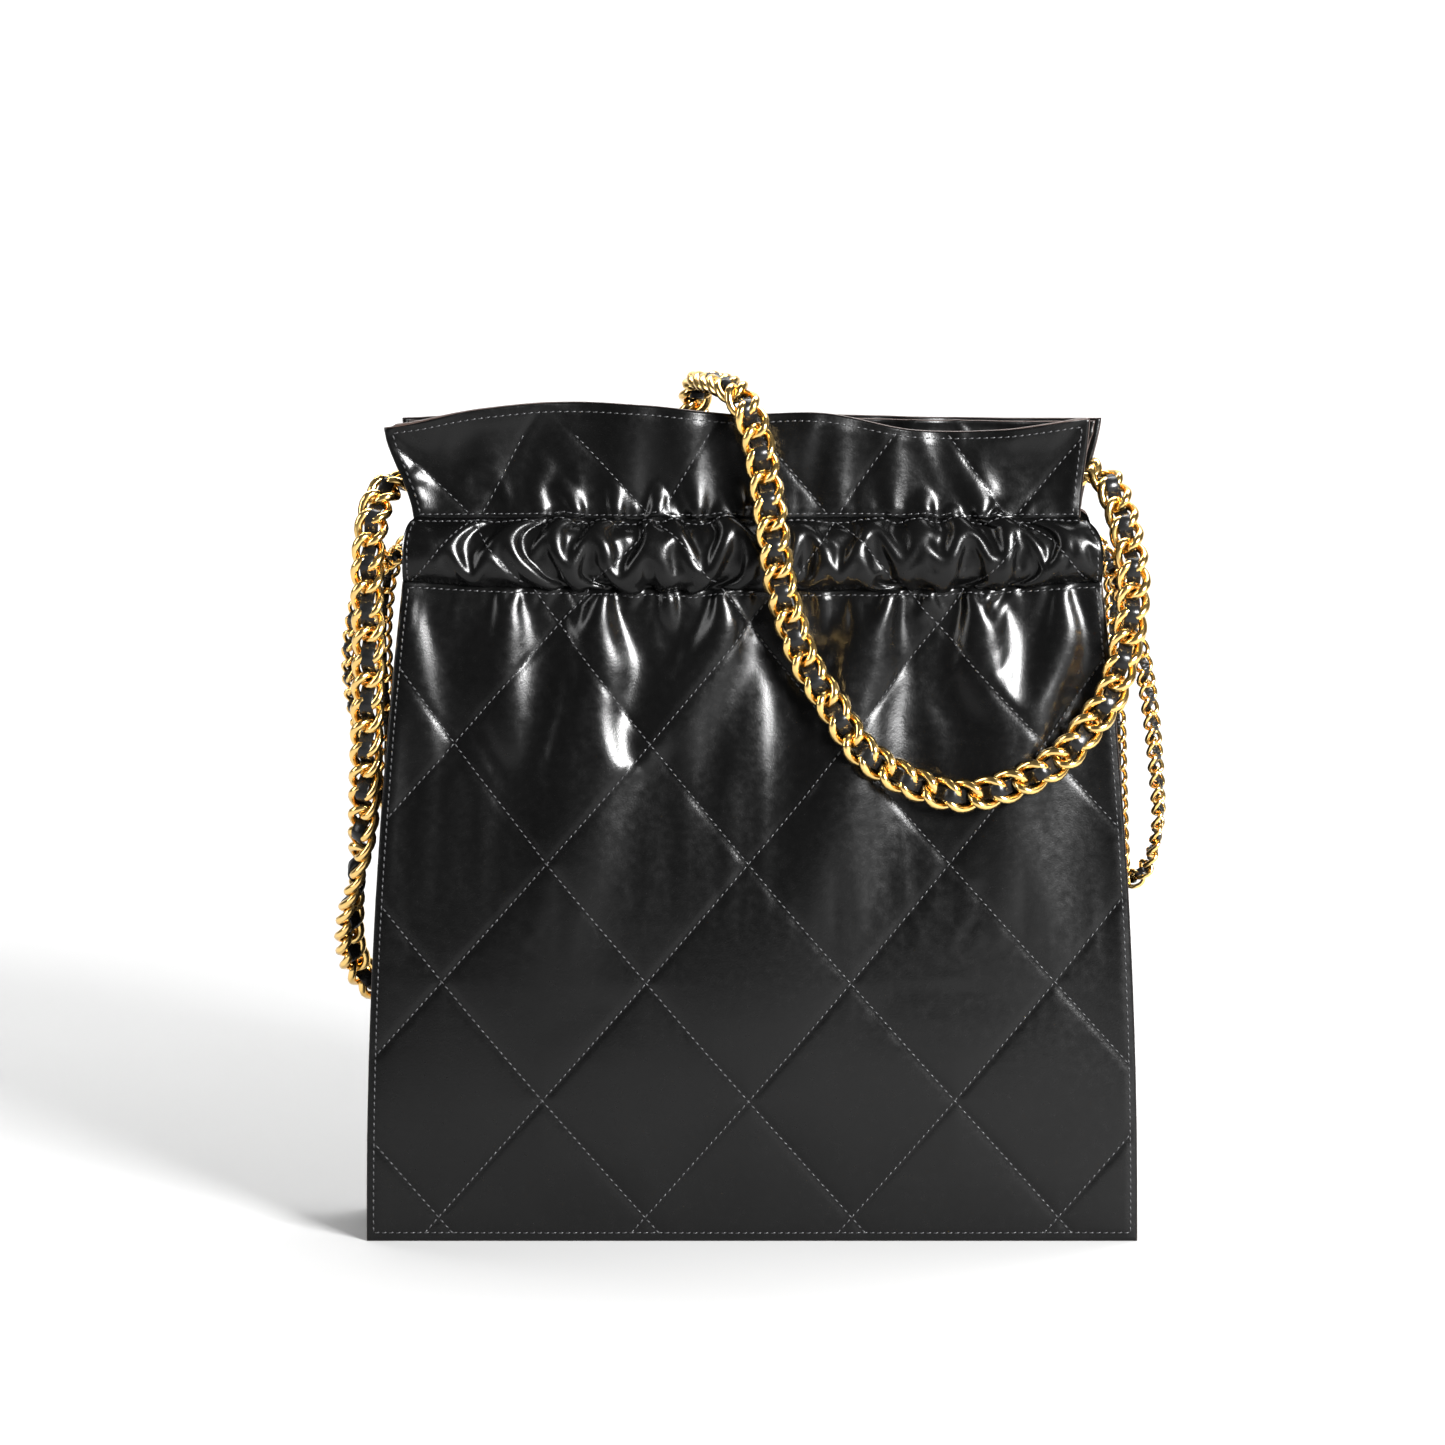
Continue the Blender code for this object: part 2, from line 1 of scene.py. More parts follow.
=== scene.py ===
"""Looks of the quilted drawstring bag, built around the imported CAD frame. Metres, +Z up, front at -Y."""

import json
import math

import bpy
import numpy as np
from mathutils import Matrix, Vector


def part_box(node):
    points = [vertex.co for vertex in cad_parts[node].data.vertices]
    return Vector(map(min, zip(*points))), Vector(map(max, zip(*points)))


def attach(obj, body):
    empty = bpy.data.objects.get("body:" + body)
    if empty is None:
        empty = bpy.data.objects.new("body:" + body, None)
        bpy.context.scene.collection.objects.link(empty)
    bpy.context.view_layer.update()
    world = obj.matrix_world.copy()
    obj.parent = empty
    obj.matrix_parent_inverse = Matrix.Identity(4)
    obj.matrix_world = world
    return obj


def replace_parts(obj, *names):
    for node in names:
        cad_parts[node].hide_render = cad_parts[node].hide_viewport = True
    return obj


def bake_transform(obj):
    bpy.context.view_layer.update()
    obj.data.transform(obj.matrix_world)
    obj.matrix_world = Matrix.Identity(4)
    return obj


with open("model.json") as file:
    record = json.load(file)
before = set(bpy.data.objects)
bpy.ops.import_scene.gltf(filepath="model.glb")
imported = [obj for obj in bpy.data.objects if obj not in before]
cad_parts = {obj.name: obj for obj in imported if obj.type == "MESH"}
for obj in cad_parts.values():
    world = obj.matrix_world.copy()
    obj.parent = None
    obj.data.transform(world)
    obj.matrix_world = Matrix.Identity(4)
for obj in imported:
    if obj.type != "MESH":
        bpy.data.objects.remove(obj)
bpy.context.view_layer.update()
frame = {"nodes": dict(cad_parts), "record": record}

# Places and sizes that the CAD nodes give
PANEL_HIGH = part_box("front_panel")[1]
CASING_LOW, CASING_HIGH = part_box("front_casing")
BASE_HALF_WIDTH = PANEL_HIGH[0]
SEAM_HEIGHT = PANEL_HIGH[2]
CASING_Y = -(CASING_LOW[1] + CASING_HIGH[1]) / 2
CASING_Z = (CASING_LOW[2] + CASING_HIGH[2]) / 2
CASING_RADIUS_Y = (CASING_HIGH[1] - CASING_LOW[1]) / 2
CASING_RADIUS_Z = (CASING_HIGH[2] - CASING_LOW[2]) / 2
TOP_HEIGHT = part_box("front_top_band")[0][2]

# The bag's own shape, as in the CAD
BASE_HALF_DEPTH = 0.038
SEAM_HALF_DEPTH = 0.030
WIDTH_TAPER = 0.2  # the half width shrinks by this times the height squared
BELLY = 0.007  # how far the faces stand out between base and BELLY_TOP
BELLY_TOP = 0.260
SIDE_FOLD = 0.012  # how far a gusset folds in at the seam height
PANEL_EDGE = 0.0035  # how far the panels stand past the gussets
LEATHER = 0.0013
GUSSET_LEATHER = 0.0012
TOP_BAND = 0.0020
FACING = 0.0009
TOP_FOLD = 0.022  # how far a gusset folds in at its top
TOP_FOLD_DEPTH = 0.0204  # half the gusset's depth between the top bands, and between the casings
CASING_FOLD_DEPTH = 0.0160
GUSSET_TOP_HEIGHT = 0.365
GUSSET_GAP = 0.0013  # between a gusset's edge and the panel's inside
LINING_OFFSET = 0.0051  # of the lining from a panel's outside
LINING_FOOT = 0.0056
WELT_OFFSET = 0.0060  # of the inside pocket's zip from the back panel's outside
ZIP_HEIGHT = 0.255
HEM_HALF_WIDTH = 0.158  # of the top band, before it was gathered
# Heights of the top edges at even steps from left to right
FRONT_HEM = [0.3690, 0.3770, 0.3805, 0.3790, 0.3750, 0.3755, 0.3680, 0.3680, 0.3730]
BACK_HEM = [0.3700, 0.3725, 0.3735, 0.3725, 0.3715, 0.3715, 0.3705, 0.3700, 0.3700]
# Left and right ends of the top bands, at the casing and at the hem
FRONT_FOOT_X = (-0.152, 0.147)
FRONT_HEM_X = (-0.165, 0.151)
BACK_FOOT_X = (-0.151, 0.151)
BACK_HEM_X = (-0.160, 0.160)

# Quilting: diamonds between two families of slanting stitch lines
DIAMOND_WIDTH = 0.0941
DIAMOND_HEIGHT = 0.1082
DIAMOND_X = -0.0017
DIAMOND_Z = 0.0650
QUILT_HALF_WIDTH = 0.1755  # the leather's half width as it was quilted
PILLOW_HEIGHT, PILLOW_WIDTH = 0.0006, 0.010
GROOVE_DEPTH, GROOVE_WIDTH = 0.00035, 0.0014

# Sewing
STITCH_PITCH = 0.0032
STITCH_LENGTH = 0.0023
STITCH_RADIUS = 0.00034
STITCH_SLANT = math.radians(7)
STITCH_LIFT = 0.00022  # of a stitch's middle above the leather
EDGE_STITCH_INSET = 0.0030

# Chains: pitch of the links, a link's centreline, wire radius, and the lace's width and thickness
SHOULDER_LINK = dict(
    pitch=0.0106, half_length=0.0074, half_width=0.0059, wire=0.0020, lace=(0.0062, 0.0018)
)
DRAWSTRING_LINK = dict(
    pitch=0.0068, half_length=0.0044, half_width=0.0037, wire=0.00105, lace=(0.0038, 0.0013)
)
SHOULDER_CHAIN_WIDTH, DRAWSTRING_WIDTH = 0.0140, 0.0092
LINK_TWIST = math.radians(50)  # turn of a link's ends against its middle
CHAIN_HALF_THICKNESS = 0.0042  # how close to its centreline the leather may come
LACE_RISE = 1.75  # height of the lace over a crossing of two links, in wire radii

# The chains' centrelines, as in the CAD
SHOULDER_FRONT_ROUTE = [
    (0.1475, 0.0000, 0.3430), (0.1520, -0.0020, 0.3470), (0.1600, -0.0080, 0.3445),
    (0.1655, -0.0170, 0.3330), (0.1690, -0.0260, 0.3180), (0.1710, -0.0330, 0.3030),
    (0.1700, -0.0370, 0.2850), (0.1665, -0.0395, 0.2685), (0.1610, -0.0410, 0.2506),
    (0.1517, -0.0415, 0.2370), (0.1403, -0.0425, 0.2233), (0.1220, -0.0435, 0.2120),
    (0.0948, -0.0445, 0.2050), (0.0697, -0.0445, 0.2120), (0.0492, -0.0440, 0.2256),
    (0.0355, -0.0425, 0.2460), (0.0242, -0.0415, 0.2643), (0.0173, -0.0425, 0.2825),
    (0.0120, -0.0450, 0.3030), (0.0095, -0.0450, 0.3200), (0.0070, -0.0410, 0.3380),
    (0.0040, -0.0375, 0.3550), (0.0005, -0.0375, 0.3705), (-0.0055, -0.0330, 0.3830),
    (-0.0123, -0.0180, 0.3875), (-0.0180, -0.0006, 0.3880),
]
SHOULDER_BACK_ROUTE = [
    (-0.0180, 0.0006, 0.3880), (-0.0225, 0.0180, 0.3875), (-0.0255, 0.0325, 0.3815),
    (-0.0275, 0.0410, 0.3670), (-0.0290, 0.0445, 0.3450), (-0.0310, 0.0455, 0.3150),
    (-0.0340, 0.0435, 0.2800), (-0.0380, 0.0430, 0.2400), (-0.0440, 0.0450, 0.2000),
    (-0.0540, 0.0485, 0.1600), (-0.0680, 0.0500, 0.1250), (-0.0870, 0.0500, 0.0990),
    (-0.1100, 0.0490, 0.0860), (-0.1340, 0.0480, 0.0840), (-0.1560, 0.0470, 0.0910),
    (-0.1730, 0.0465, 0.1010), (-0.1830, 0.0385, 0.1130), (-0.1860, 0.0250, 0.1276),
    (-0.1845, 0.0120, 0.1450), (-0.1805, -0.0010, 0.1650), (-0.1770, -0.0120, 0.1880),
    (-0.1750, -0.0210, 0.2150), (-0.1735, -0.0260, 0.2460), (-0.1725, -0.0290, 0.2730),
    (-0.1730, -0.0300, 0.2980), (-0.1720, -0.0270, 0.3180), (-0.1695, -0.0190, 0.3330),
    (-0.1640, -0.0080, 0.3415), (-0.1570, 0.0000, 0.3430),
]
RIGHT_LOOP_ROUTE = [
    (0.1360, -0.0280, 0.3143), (0.1520, -0.0280, 0.3143), (0.1575, -0.0278, 0.3125),
    (0.1625, -0.0255, 0.3045), (0.1662, -0.0220, 0.2950), (0.1705, -0.0180, 0.2835),
    (0.1765, -0.0150, 0.2640), (0.1812, -0.0120, 0.2370), (0.1845, -0.0090, 0.2050),
    (0.1852, -0.0050, 0.1870), (0.1820, 0.0000, 0.1695), (0.1757, 0.0060, 0.1600),
    (0.1705, 0.0115, 0.1610), (0.1695, 0.0150, 0.1730), (0.1685, 0.0165, 0.2005),
    (0.1677, 0.0175, 0.2280), (0.1665, 0.0185, 0.2506), (0.1660, 0.0200, 0.2720),
    (0.1662, 0.0225, 0.2920), (0.1632, 0.0262, 0.3060), (0.1575, 0.0278, 0.3127),
    (0.1520, 0.0280, 0.3143), (0.1360, 0.0280, 0.3143),
]
LEFT_LOOP_ROUTE = [
    (-0.1360, -0.0280, 0.3143), (-0.1520, -0.0280, 0.3143), (-0.1585, -0.0265, 0.3127),
    (-0.1645, -0.0210, 0.3085), (-0.1715, -0.0150, 0.3020), (-0.1777, -0.0105, 0.2920),
    (-0.1822, -0.0085, 0.2730), (-0.1830, -0.0075, 0.2550), (-0.1805, -0.0055, 0.2370),
    (-0.1760, -0.0020, 0.2200), (-0.1715, 0.0030, 0.2040), (-0.1690, 0.0090, 0.1960),
    (-0.1675, 0.0140, 0.2000), (-0.1670, 0.0170, 0.2145), (-0.1675, 0.0180, 0.2350),
    (-0.1690, 0.0185, 0.2550), (-0.1695, 0.0190, 0.2720), (-0.1685, 0.0205, 0.2860),
    (-0.1670, 0.0230, 0.2970), (-0.1632, 0.0262, 0.3065), (-0.1575, 0.0278, 0.3127),
    (-0.1520, 0.0280, 0.3143), (-0.1360, 0.0280, 0.3143),
]

FRONT, BACK = -1, 1
LEFT, RIGHT = -1, 1


# ---------------------------------------------------------------- materials


class Nodes:
    """A short way to write a material's node tree."""

    def __init__(self, name):
        self.material = bpy.data.materials.new(name)
        self.material.use_nodes = True
        self.tree = self.material.node_tree
        self.shader = self.tree.nodes["Principled BSDF"]
        self.place = self.tree.nodes.new("ShaderNodeTexCoord").outputs["Object"]

    def add(self, kind, **inputs):
        node = self.tree.nodes.new(kind)
        for key, value in inputs.items():
            self.set(node, key.replace("_", " "), value)
        return node

    def set(self, node, key, value):
        if isinstance(value, bpy.types.NodeSocket):
            self.tree.links.new(value, node.inputs[key])
        else:
            node.inputs[key].default_value = value

    def noise(self, scale, detail=3.0, roughness=0.5):
        return self.add(
            "ShaderNodeTexNoise", Vector=self.place, Scale=scale, Detail=detail, Roughness=roughness
        ).outputs["Fac"]

    def cells(self, scale):
        return self.add("ShaderNodeTexVoronoi", Vector=self.place, Scale=scale).outputs["Distance"]

    def ramp(self, value, low, high):
        """Spreads the usual range of a noise, 0.3 to 0.7, from low to high."""
        return self.add(
            "ShaderNodeMapRange", Value=value, From_Min=0.3, From_Max=0.7, To_Min=low, To_Max=high
        ).outputs["Result"]

    def blend(self, share, first, second):
        """A mix of two colours; the first may be another node's."""
        node = self.tree.nodes.new("ShaderNodeMix")
        node.data_type = "RGBA"
        self.tree.links.new(share, node.inputs["Factor"])
        self.set(node, 6, first if isinstance(first, bpy.types.NodeSocket) else (*first, 1.0))
        self.set(node, 7, (*second, 1.0))
        return node.outputs[2]

    def bump(self, height, strength, distance, under=None):
        node = self.add("ShaderNodeBump", Height=height, Strength=strength, Distance=distance)
        if under is not None:
            self.tree.links.new(under, node.inputs["Normal"])
        return node.outputs["Normal"]

    def finish(self, **inputs):
        for key, value in inputs.items():
            self.set(self.shader, key.replace("_", " "), value)
        return self.material


def calf_leather(name="black_calf_leather", dark=(0.0008, 0.0008, 0.0008), light=(0.002, 0.002, 0.002)):
    n = Nodes(name)
    cloudy = n.noise(38, 4)
    pores = n.cells(1500)
    creases = n.noise(900, 2, 0.6)
    normal = n.bump(pores, 0.10, 0.00012)
    normal = n.bump(creases, 0.22, 0.00018, normal)
    return n.finish(
        Base_Color=n.blend(cloudy, dark, light),
        Roughness=n.ramp(n.noise(260, 5, 0.6), 0.19, 0.29),
        Specular_IOR_Level=0.22,
        Normal=normal,
    )


def grained(name, colours, clouds, roughness, spots, grain, bump, **more):
    """A clouded, grained surface; clouds, spots and grain are noises, each a scale and a detail."""
    n = Nodes(name)
    return n.finish(
        Base_Color=n.blend(n.noise(*clouds), *colours),
        Roughness=n.ramp(n.noise(*spots), *roughness),
        Normal=n.bump(n.noise(*grain), *bump),
        **more,
    )


def woven_cloth(name, dark, light, pitch=0.0006, rough=(0.7, 0.88)):
    """Plain weave: two crossed waves at the thread pitch."""
    n = Nodes(name)
    heights = []
    for axis in ("X", "Z"):
        wave = n.add("ShaderNodeTexWave", Vector=n.place, Scale=1.0 / pitch / 6.28)
        wave.bands_direction = axis
        heights.append(wave.outputs["Fac"])
    weave = n.tree.nodes.new("ShaderNodeMath")
    weave.operation = "MULTIPLY"
    n.tree.links.new(heights[0], weave.inputs[0])
    n.tree.links.new(heights[1], weave.inputs[1])
    return n.finish(
        Base_Color=n.blend(n.noise(60, 4), dark, light),
        Roughness=n.ramp(n.noise(300, 3), *rough),
        Sheen_Weight=0.25,
        Normal=n.bump(weave.outputs[0], 0.35, 0.0002),
    )


CALF = calf_leather()
LACE_CALF = calf_leather("lace_calf_leather", (0.003, 0.003, 0.003), (0.008, 0.008, 0.008))
EDGE = grained(
    "painted_leather_edge",
    colours=((0.020, 0.012, 0.009), (0.045, 0.026, 0.020)),
    clouds=(120, 3),
    roughness=(0.35, 0.55),
    spots=(300, 2),
    grain=(900, 3),
    bump=(0.3, 0.0002),
)
GOLD = grained(
    "polished_gold",
    colours=((0.88, 0.56, 0.17), (0.97, 0.68, 0.27)),
    clouds=(90, 3),
    roughness=(0.11, 0.22),
    spots=(420, 4),
    grain=(1100, 2),
    bump=(0.05, 0.0001),
    Metallic=1.0,
)
THREAD = grained(
    "waxed_black_thread",
    colours=((0.006, 0.006, 0.007), (0.022, 0.022, 0.023)),
    clouds=(700, 2),
    roughness=(0.32, 0.5),
    spots=(900, 2),
    grain=(5200, 2),
    bump=(0.5, 0.0001),
)
LINING_CLOTH = woven_cloth("black_lining_cloth", (0.010, 0.010, 0.011), (0.022, 0.022, 0.024))
FELT = woven_cloth("padding_felt", (0.42, 0.41, 0.38), (0.60, 0.59, 0.55), 0.0012, (0.85, 0.95))
TAPE_CLOTH = woven_cloth("zip_tape_cloth", (0.009, 0.009, 0.010), (0.020, 0.020, 0.021), 0.0008)
BOARD = grained(
    "fibre_board",
    colours=((0.20, 0.14, 0.09), (0.34, 0.25, 0.17)),
    clouds=(180, 6),
    roughness=(0.7, 0.9),
    spots=(300, 3),
    grain=(700, 4),
    bump=(0.3, 0.0003),
)


# ---------------------------------------------------------------- helpers


def lerp(a, b, t):
    return a + (b - a) * t


def smooth_step(t):
    t = np.clip(t, 0, 1)
    return t * t * (3 - 2 * t)


def make_noise(seed, size=64):
    """A smooth random field of x and y, one lattice cell per unit, from -1 to 1."""
    lattice = np.random.default_rng(seed).uniform(-1, 1, (size, size))

    def field(x, y):
        x, y = np.broadcast_arrays(np.asarray(x, float), np.asarray(y, float))
        column = np.floor(x).astype(int)
        row = np.floor(y).astype(int)
        across = smooth_step(x - column)
        up = smooth_step(y - row)
        left, right = column % size, (column + 1) % size
        low, high = row % size, (row + 1) % size
        near = lerp(lattice[left, low], lattice[right, low], across)
        far = lerp(lattice[left, high], lattice[right, high], across)
        return lerp(near, far, up)

    return field


def sample(values, rows, columns):
    """Values between the points of a grid, at fractional rows and columns."""
    row = np.clip(rows.astype(int), 0, values.shape[0] - 2)
    column = np.clip(columns.astype(int), 0, values.shape[1] - 2)
    up = (rows - row)[..., None]
    across = (columns - column)[..., None]
    low = lerp(values[row, column], values[row, column + 1], across)
    high = lerp(values[row + 1, column], values[row + 1, column + 1], across)
    return lerp(low, high, up)


def curve(before, start, end, after, t):
    """Place at t, from 0 to 1, on a smooth curve from start to end."""
    bend = 2 * before - 5 * start + 4 * end - after
    twist = 3 * (start - end) + after - before
    return start + 0.5 * t * (end - before + t * (bend + t * twist))


def through(values, u):
    """Smooth values at u, from -1 to 1, through evenly spaced values."""
    values = np.asarray(values, float)
    place = (np.clip(u, -1, 1) + 1) / 2 * (len(values) - 1)
    index = np.minimum(place.astype(int), len(values) - 2)
    before = values[np.maximum(index - 1, 0)]
    after = values[np.minimum(index + 2, len(values) - 1)]
    return curve(before, values[index], values[index + 1], after, place - index)


def add_mesh(name, points, faces, material, body=None, slot=None):
    mesh = bpy.data.meshes.new(name)
    mesh.from_pydata(np.asarray(points).reshape(-1, 3).tolist(), [], np.asarray(faces).tolist())
    mesh.shade_smooth()
    mesh.materials.append(material)
    obj = bpy.data.objects.new(name, mesh)
    bpy.context.scene.collection.objects.link(obj)
    if body:
        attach(obj, body)
    return obj


def grid_faces(rows, columns, closed=False):
    """Quads over points[row, column]; closed joins the last column to the first."""
    row = np.arange(rows - 1)[:, None]
    column = np.arange(columns if closed else columns - 1)[None, :]
    after = (column + 1) % columns
    corners = [row * columns + column, row * columns + after]
    corners += [(row + 1) * columns + after, (row + 1) * columns + column]
    return np.stack([np.broadcast_to(c, (rows - 1, column.size)).ravel() for c in corners], 1)


def add_grid(name, points, material, closed=False, **where):
    rows, columns = points.shape[:2]
    return add_mesh(name, points, grid_faces(rows, columns, closed), material, **where)


def thicken(obj, thickness):
    solidify = obj.modifiers.new("thickness", "SOLIDIFY")
    solidify.thickness = thickness
    solidify.offset = -1.0


def copies(template_points, template_faces, frames, centres):
    """The template set at each centre, turned by each frame, whose rows are its three axes."""
    points = np.einsum("mk,nkj->nmj", template_points, frames) + centres[:, None, :]
    count = len(template_points)
    faces = template_faces[None] + (np.arange(len(centres)) * count)[:, None, None]
    return points.reshape(-1, 3), faces.reshape(-1, template_faces.shape[1])


# ---------------------------------------------------------------- the leather sheets

FINE = make_noise(3)
WIDE = make_noise(7)
SLACK = make_noise(19)

# One sheet makes a side of the bag: body, outside of the casing, and top band, from foot to hem
PANEL_ROWS, CASING_ROWS, BAND_ROWS = 188, 28, 36
SHEET_COLUMNS = 256
CASING_ARC = math.pi * math.sqrt((CASING_RADIUS_Y**2 + CASING_RADIUS_Z**2) / 2)
GATHER_DEPTH = 0.018  # height over which the gathered leather below the seam fans out
FOLD_SLACK = 0.034  # extra width at the broad folds
SEAM_SAG = 0.0042  # how far the casing's lower seam hangs down in the middle
CUT_SAG = 0.0034  # how much of that is in the leather's cut; the rest is slack
SEAM_WAVE = 0.0016  # how far the gathered seams stray up and down
HEM_SLACK = 0.007  # extra width at the hem
SEAM_Y = (0.0295, 0.0275)  # distance from the middle plane of the casing's lower and upper seam
# How far the leather may come out of its place, and go back
PANEL_PLAY = (0.0054, 0.0022)
CASING_PLAY = (0.0016, 0.0026)
BAND_PLAY = (0.0016, 0.0016)
HEM_PLAY = (0.0060, 0.0030)  # on top of that, at the hem
SEAM_PLAY = 0.0013
ROW_PLAY = 0.0018  # up and down, in the casing
SETTLING = ((4, 260), (2, 200), (1, 90))  # coarseness and number of sweeps


def half_width(z):
    return BASE_HALF_WIDTH - WIDTH_TAPER * z * z


def half_depth(z, u=1.0):
    edge = lerp(BASE_HALF_DEPTH, SEAM_HALF_DEPTH, z / SEAM_HEIGHT)
    belly = BELLY * np.sin(math.pi * np.clip(z / BELLY_TOP, 0, 1))
    return edge + belly * (1 - u * u)


def gathering(x):
    """Share of extra leather gathered at x: most in two bunches, none at the ends."""
    left_bunch = smooth_step((x + 0.098) / 0.022) * smooth_step((0.004 - x) / 0.022)
    right_bunch = smooth_step((x - 0.052) / 0.014) * smooth_step((0.120 - x) / 0.014)
    ends = smooth_step((0.152 - np.abs(x)) / 0.030)
    uneven = 1 + 0.5 * SLACK(x / 0.012 + 50, 3.3) + 0.3 * SLACK(x / 0.027 + 20, 8.1)
    return ends * (0.012 + 0.22 * uneven * np.maximum(left_bunch, right_bunch))


def extra_leather(along, r, facing):
    """Share by which the leather is wider than its place in the bag."""
    x = -facing * along
    below = SEAM_HEIGHT * (1 - np.clip(r, 0, 1))
    v = np.clip(r - 2, 0, 1)
    gathers = gathering(x)
    broad = 0.0
    for top_x, foot_x, foot_z, width, size in folds_of(facing):
        share = below / (SEAM_HEIGHT - foot_z)
        middle = lerp(top_x, foot_x, share)
        broad = broad + np.exp(-(share**3)) * np.exp(-(((x - middle) / (1.6 * width)) ** 2))
    panel = 0.5 * gathers * np.exp(-below / GATHER_DEPTH) + FOLD_SLACK * broad
    band = HEM_SLACK + (0.7 * gathers - HEM_SLACK) * np.exp(-v / 0.13)
    return np.where(r < 1, panel, np.where(r < 2, gathers, band))


def hem_height(x, facing):
    hem_x = FRONT_HEM_X if facing == FRONT else BACK_HEM_X
    share = (x - hem_x[0]) / (hem_x[1] - hem_x[0])
    return through(FRONT_HEM if facing == FRONT else BACK_HEM, 2 * share - 1)


def seam_sag(u, r):
    """Share by which the seam's sag moves a point of the sheet down."""
    hang = np.where(r < 1, smooth_step((r - 0.75) / 0.25), np.clip(2 - r, 0, 1))
    return hang * (1 - np.clip(np.abs(u), 0, 1) ** 3)


def flat_height(u, r, facing):
    """Height of a point in the flat leather before sewing; its cut has most of the seam's sag."""
    panel = SEAM_HEIGHT * np.clip(r, 0, 1) - CUT_SAG * seam_sag(u, r)
    casing = CASING_ARC * np.clip(r - 1, 0, 1)
    hem = hem_height(-facing * u * HEM_HALF_WIDTH, facing)
    return panel + casing + np.clip(r - 2, 0, 1) * (hem - TOP_HEIGHT)


def quilt_place(u, r, facing):
    """Where a point lies in the quilting's own x and z, seen from the front."""
    return -facing * u * QUILT_HALF_WIDTH, flat_height(u, r, facing)


def sewn_place(u, r, facing):
    """Starting shape: along, outwards and up, seen from outside that face of the bag."""
    panel_z = SEAM_HEIGHT * np.clip(r, 0, 1)
    panel_along = u * half_width(panel_z)
    around = math.pi * np.clip(r - 1, 0, 1)
    v = np.clip(r - 2, 0, 1)
    foot_x = FRONT_FOOT_X if facing == FRONT else BACK_FOOT_X
    hem_x = FRONT_HEM_X if facing == FRONT else BACK_HEM_X
    if facing == BACK:
        foot_x = (-foot_x[1], -foot_x[0])
        hem_x = (-hem_x[1], -hem_x[0])
    foot = lerp(foot_x[0], foot_x[1], (u + 1) / 2)
    hem = lerp(hem_x[0], hem_x[1], (u + 1) / 2)
    narrow = np.clip(1 - np.sin(around), 0, 1) * (around > math.pi / 2)
    casing_along = lerp(u * half_width(SEAM_HEIGHT), foot, narrow)
    band_along = lerp(foot, hem, smooth_step(v) * 0.6 + v * 0.4)
    along = np.where(r < 1, panel_along, np.where(r < 2, casing_along, band_along))
    panel_out = half_depth(panel_z, u)
    fullness = CASING_Y + CASING_RADIUS_Y - 0.0006 - (SEAM_Y[0] + SEAM_Y[1]) / 2
    casing_out = lerp(*SEAM_Y, around / math.pi) + fullness * np.sin(around)
    band_out = SEAM_Y[1] - 0.0012 * np.sin(math.pi * v)
    out = np.where(r < 1, panel_out - 0.0006, np.where(r < 2, casing_out, band_out))
    casing_z = CASING_Z - CASING_RADIUS_Z * np.cos(around)
    band_z = lerp(TOP_HEIGHT, hem_height(-facing * band_along, facing), v)
    up = np.where(r < 1, panel_z, np.where(r < 2, casing_z, band_z))
    share = np.clip(gathering(-facing * along) / 0.2, 0, 1)
    near_casing = smooth_step((r - 0.93) / 0.07) * smooth_step((2.6 - r) / 0.5)
    up = up - SEAM_SAG * seam_sag(u, r)
    up = up + SEAM_WAVE * share * near_casing * FINE(along / 0.0065 + 30, 1.7 * r)
    return np.stack(np.broadcast_arrays(along, out, up), -1)


# Broad folds that hang from the casing, seen from the front: top x, foot x, foot z, width, height
HANGING_FOLDS = [
    (-0.112, -0.106, 0.240, 0.014, 0.0034),
    (-0.066, -0.082, 0.165, 0.020, 0.0050),
    (-0.016, -0.046, 0.225, 0.018, 0.0036),
    (0.056, 0.036, 0.172, 0.020, 0.0052),
    (0.080, 0.080, 0.228, 0.009, 0.0028),
    (0.108, 0.118, 0.160, 0.023, 0.0052),
    (0.142, 0.126, 0.220, 0.014, 0.0032),
]


def folds_of(facing):
    """The broad folds of one face; the back hangs a little differently."""
    if facing == FRONT:
        return HANGING_FOLDS
    return [(0.021 - top, 0.021 - foot, *rest) for top, foot, *rest in HANGING_FOLDS]


def first_folds(along, u, r, facing):
    """A slight unevenness from which the settling grows its folds."""
    below = SEAM_HEIGHT - SEAM_HEIGHT * np.clip(r, 0, 1)
    height = 0.0
    for top_x, foot_x, foot_z, width, size in folds_of(facing):
        share = below / (SEAM_HEIGHT - foot_z)
        middle = lerp(top_x, foot_x, share)
        spread = width * (0.6 + 0.6 * share)
        height = height + size * np.exp(-(share**3)) * np.exp(-(((along - middle) / spread) ** 2))
    tight = np.exp(-below / 0.030)
    seed = 40.0 if facing == FRONT else 90.0
    lean = 1.6 * WIDE(u * 7 + seed, 4.4) * (r - 1)
    ruffle = FINE(u * 36 + seed + lean, r * 3.5) * 0.0010 + FINE(u * 17 + seed, r * 2.5 + 9) * 0.0013
    ruffle = ruffle * (0.12 + 0.88 * np.clip(gathering(along) / 0.2, 0, 1))
    sway = WIDE(along / 0.045 + seed, r) * 0.0045 * np.clip(r - 2, 0, 1)
    slack = SLACK(along / 0.070 + seed, r * 3) * 0.0010
    return np.where(r < 1, height, 0) + ruffle * tight * (1 - 0.6 * np.clip(r - 2, 0, 1)) + sway + slack


CEILING_CELL = 0.002
CEILING_REACH = 0.20  # x goes this far to each side, and z twice as far up
CEILING_CELLS = round(2 * CEILING_REACH / CEILING_CELL)
OPEN = 1.0  # a ceiling that is out of the leather's reach


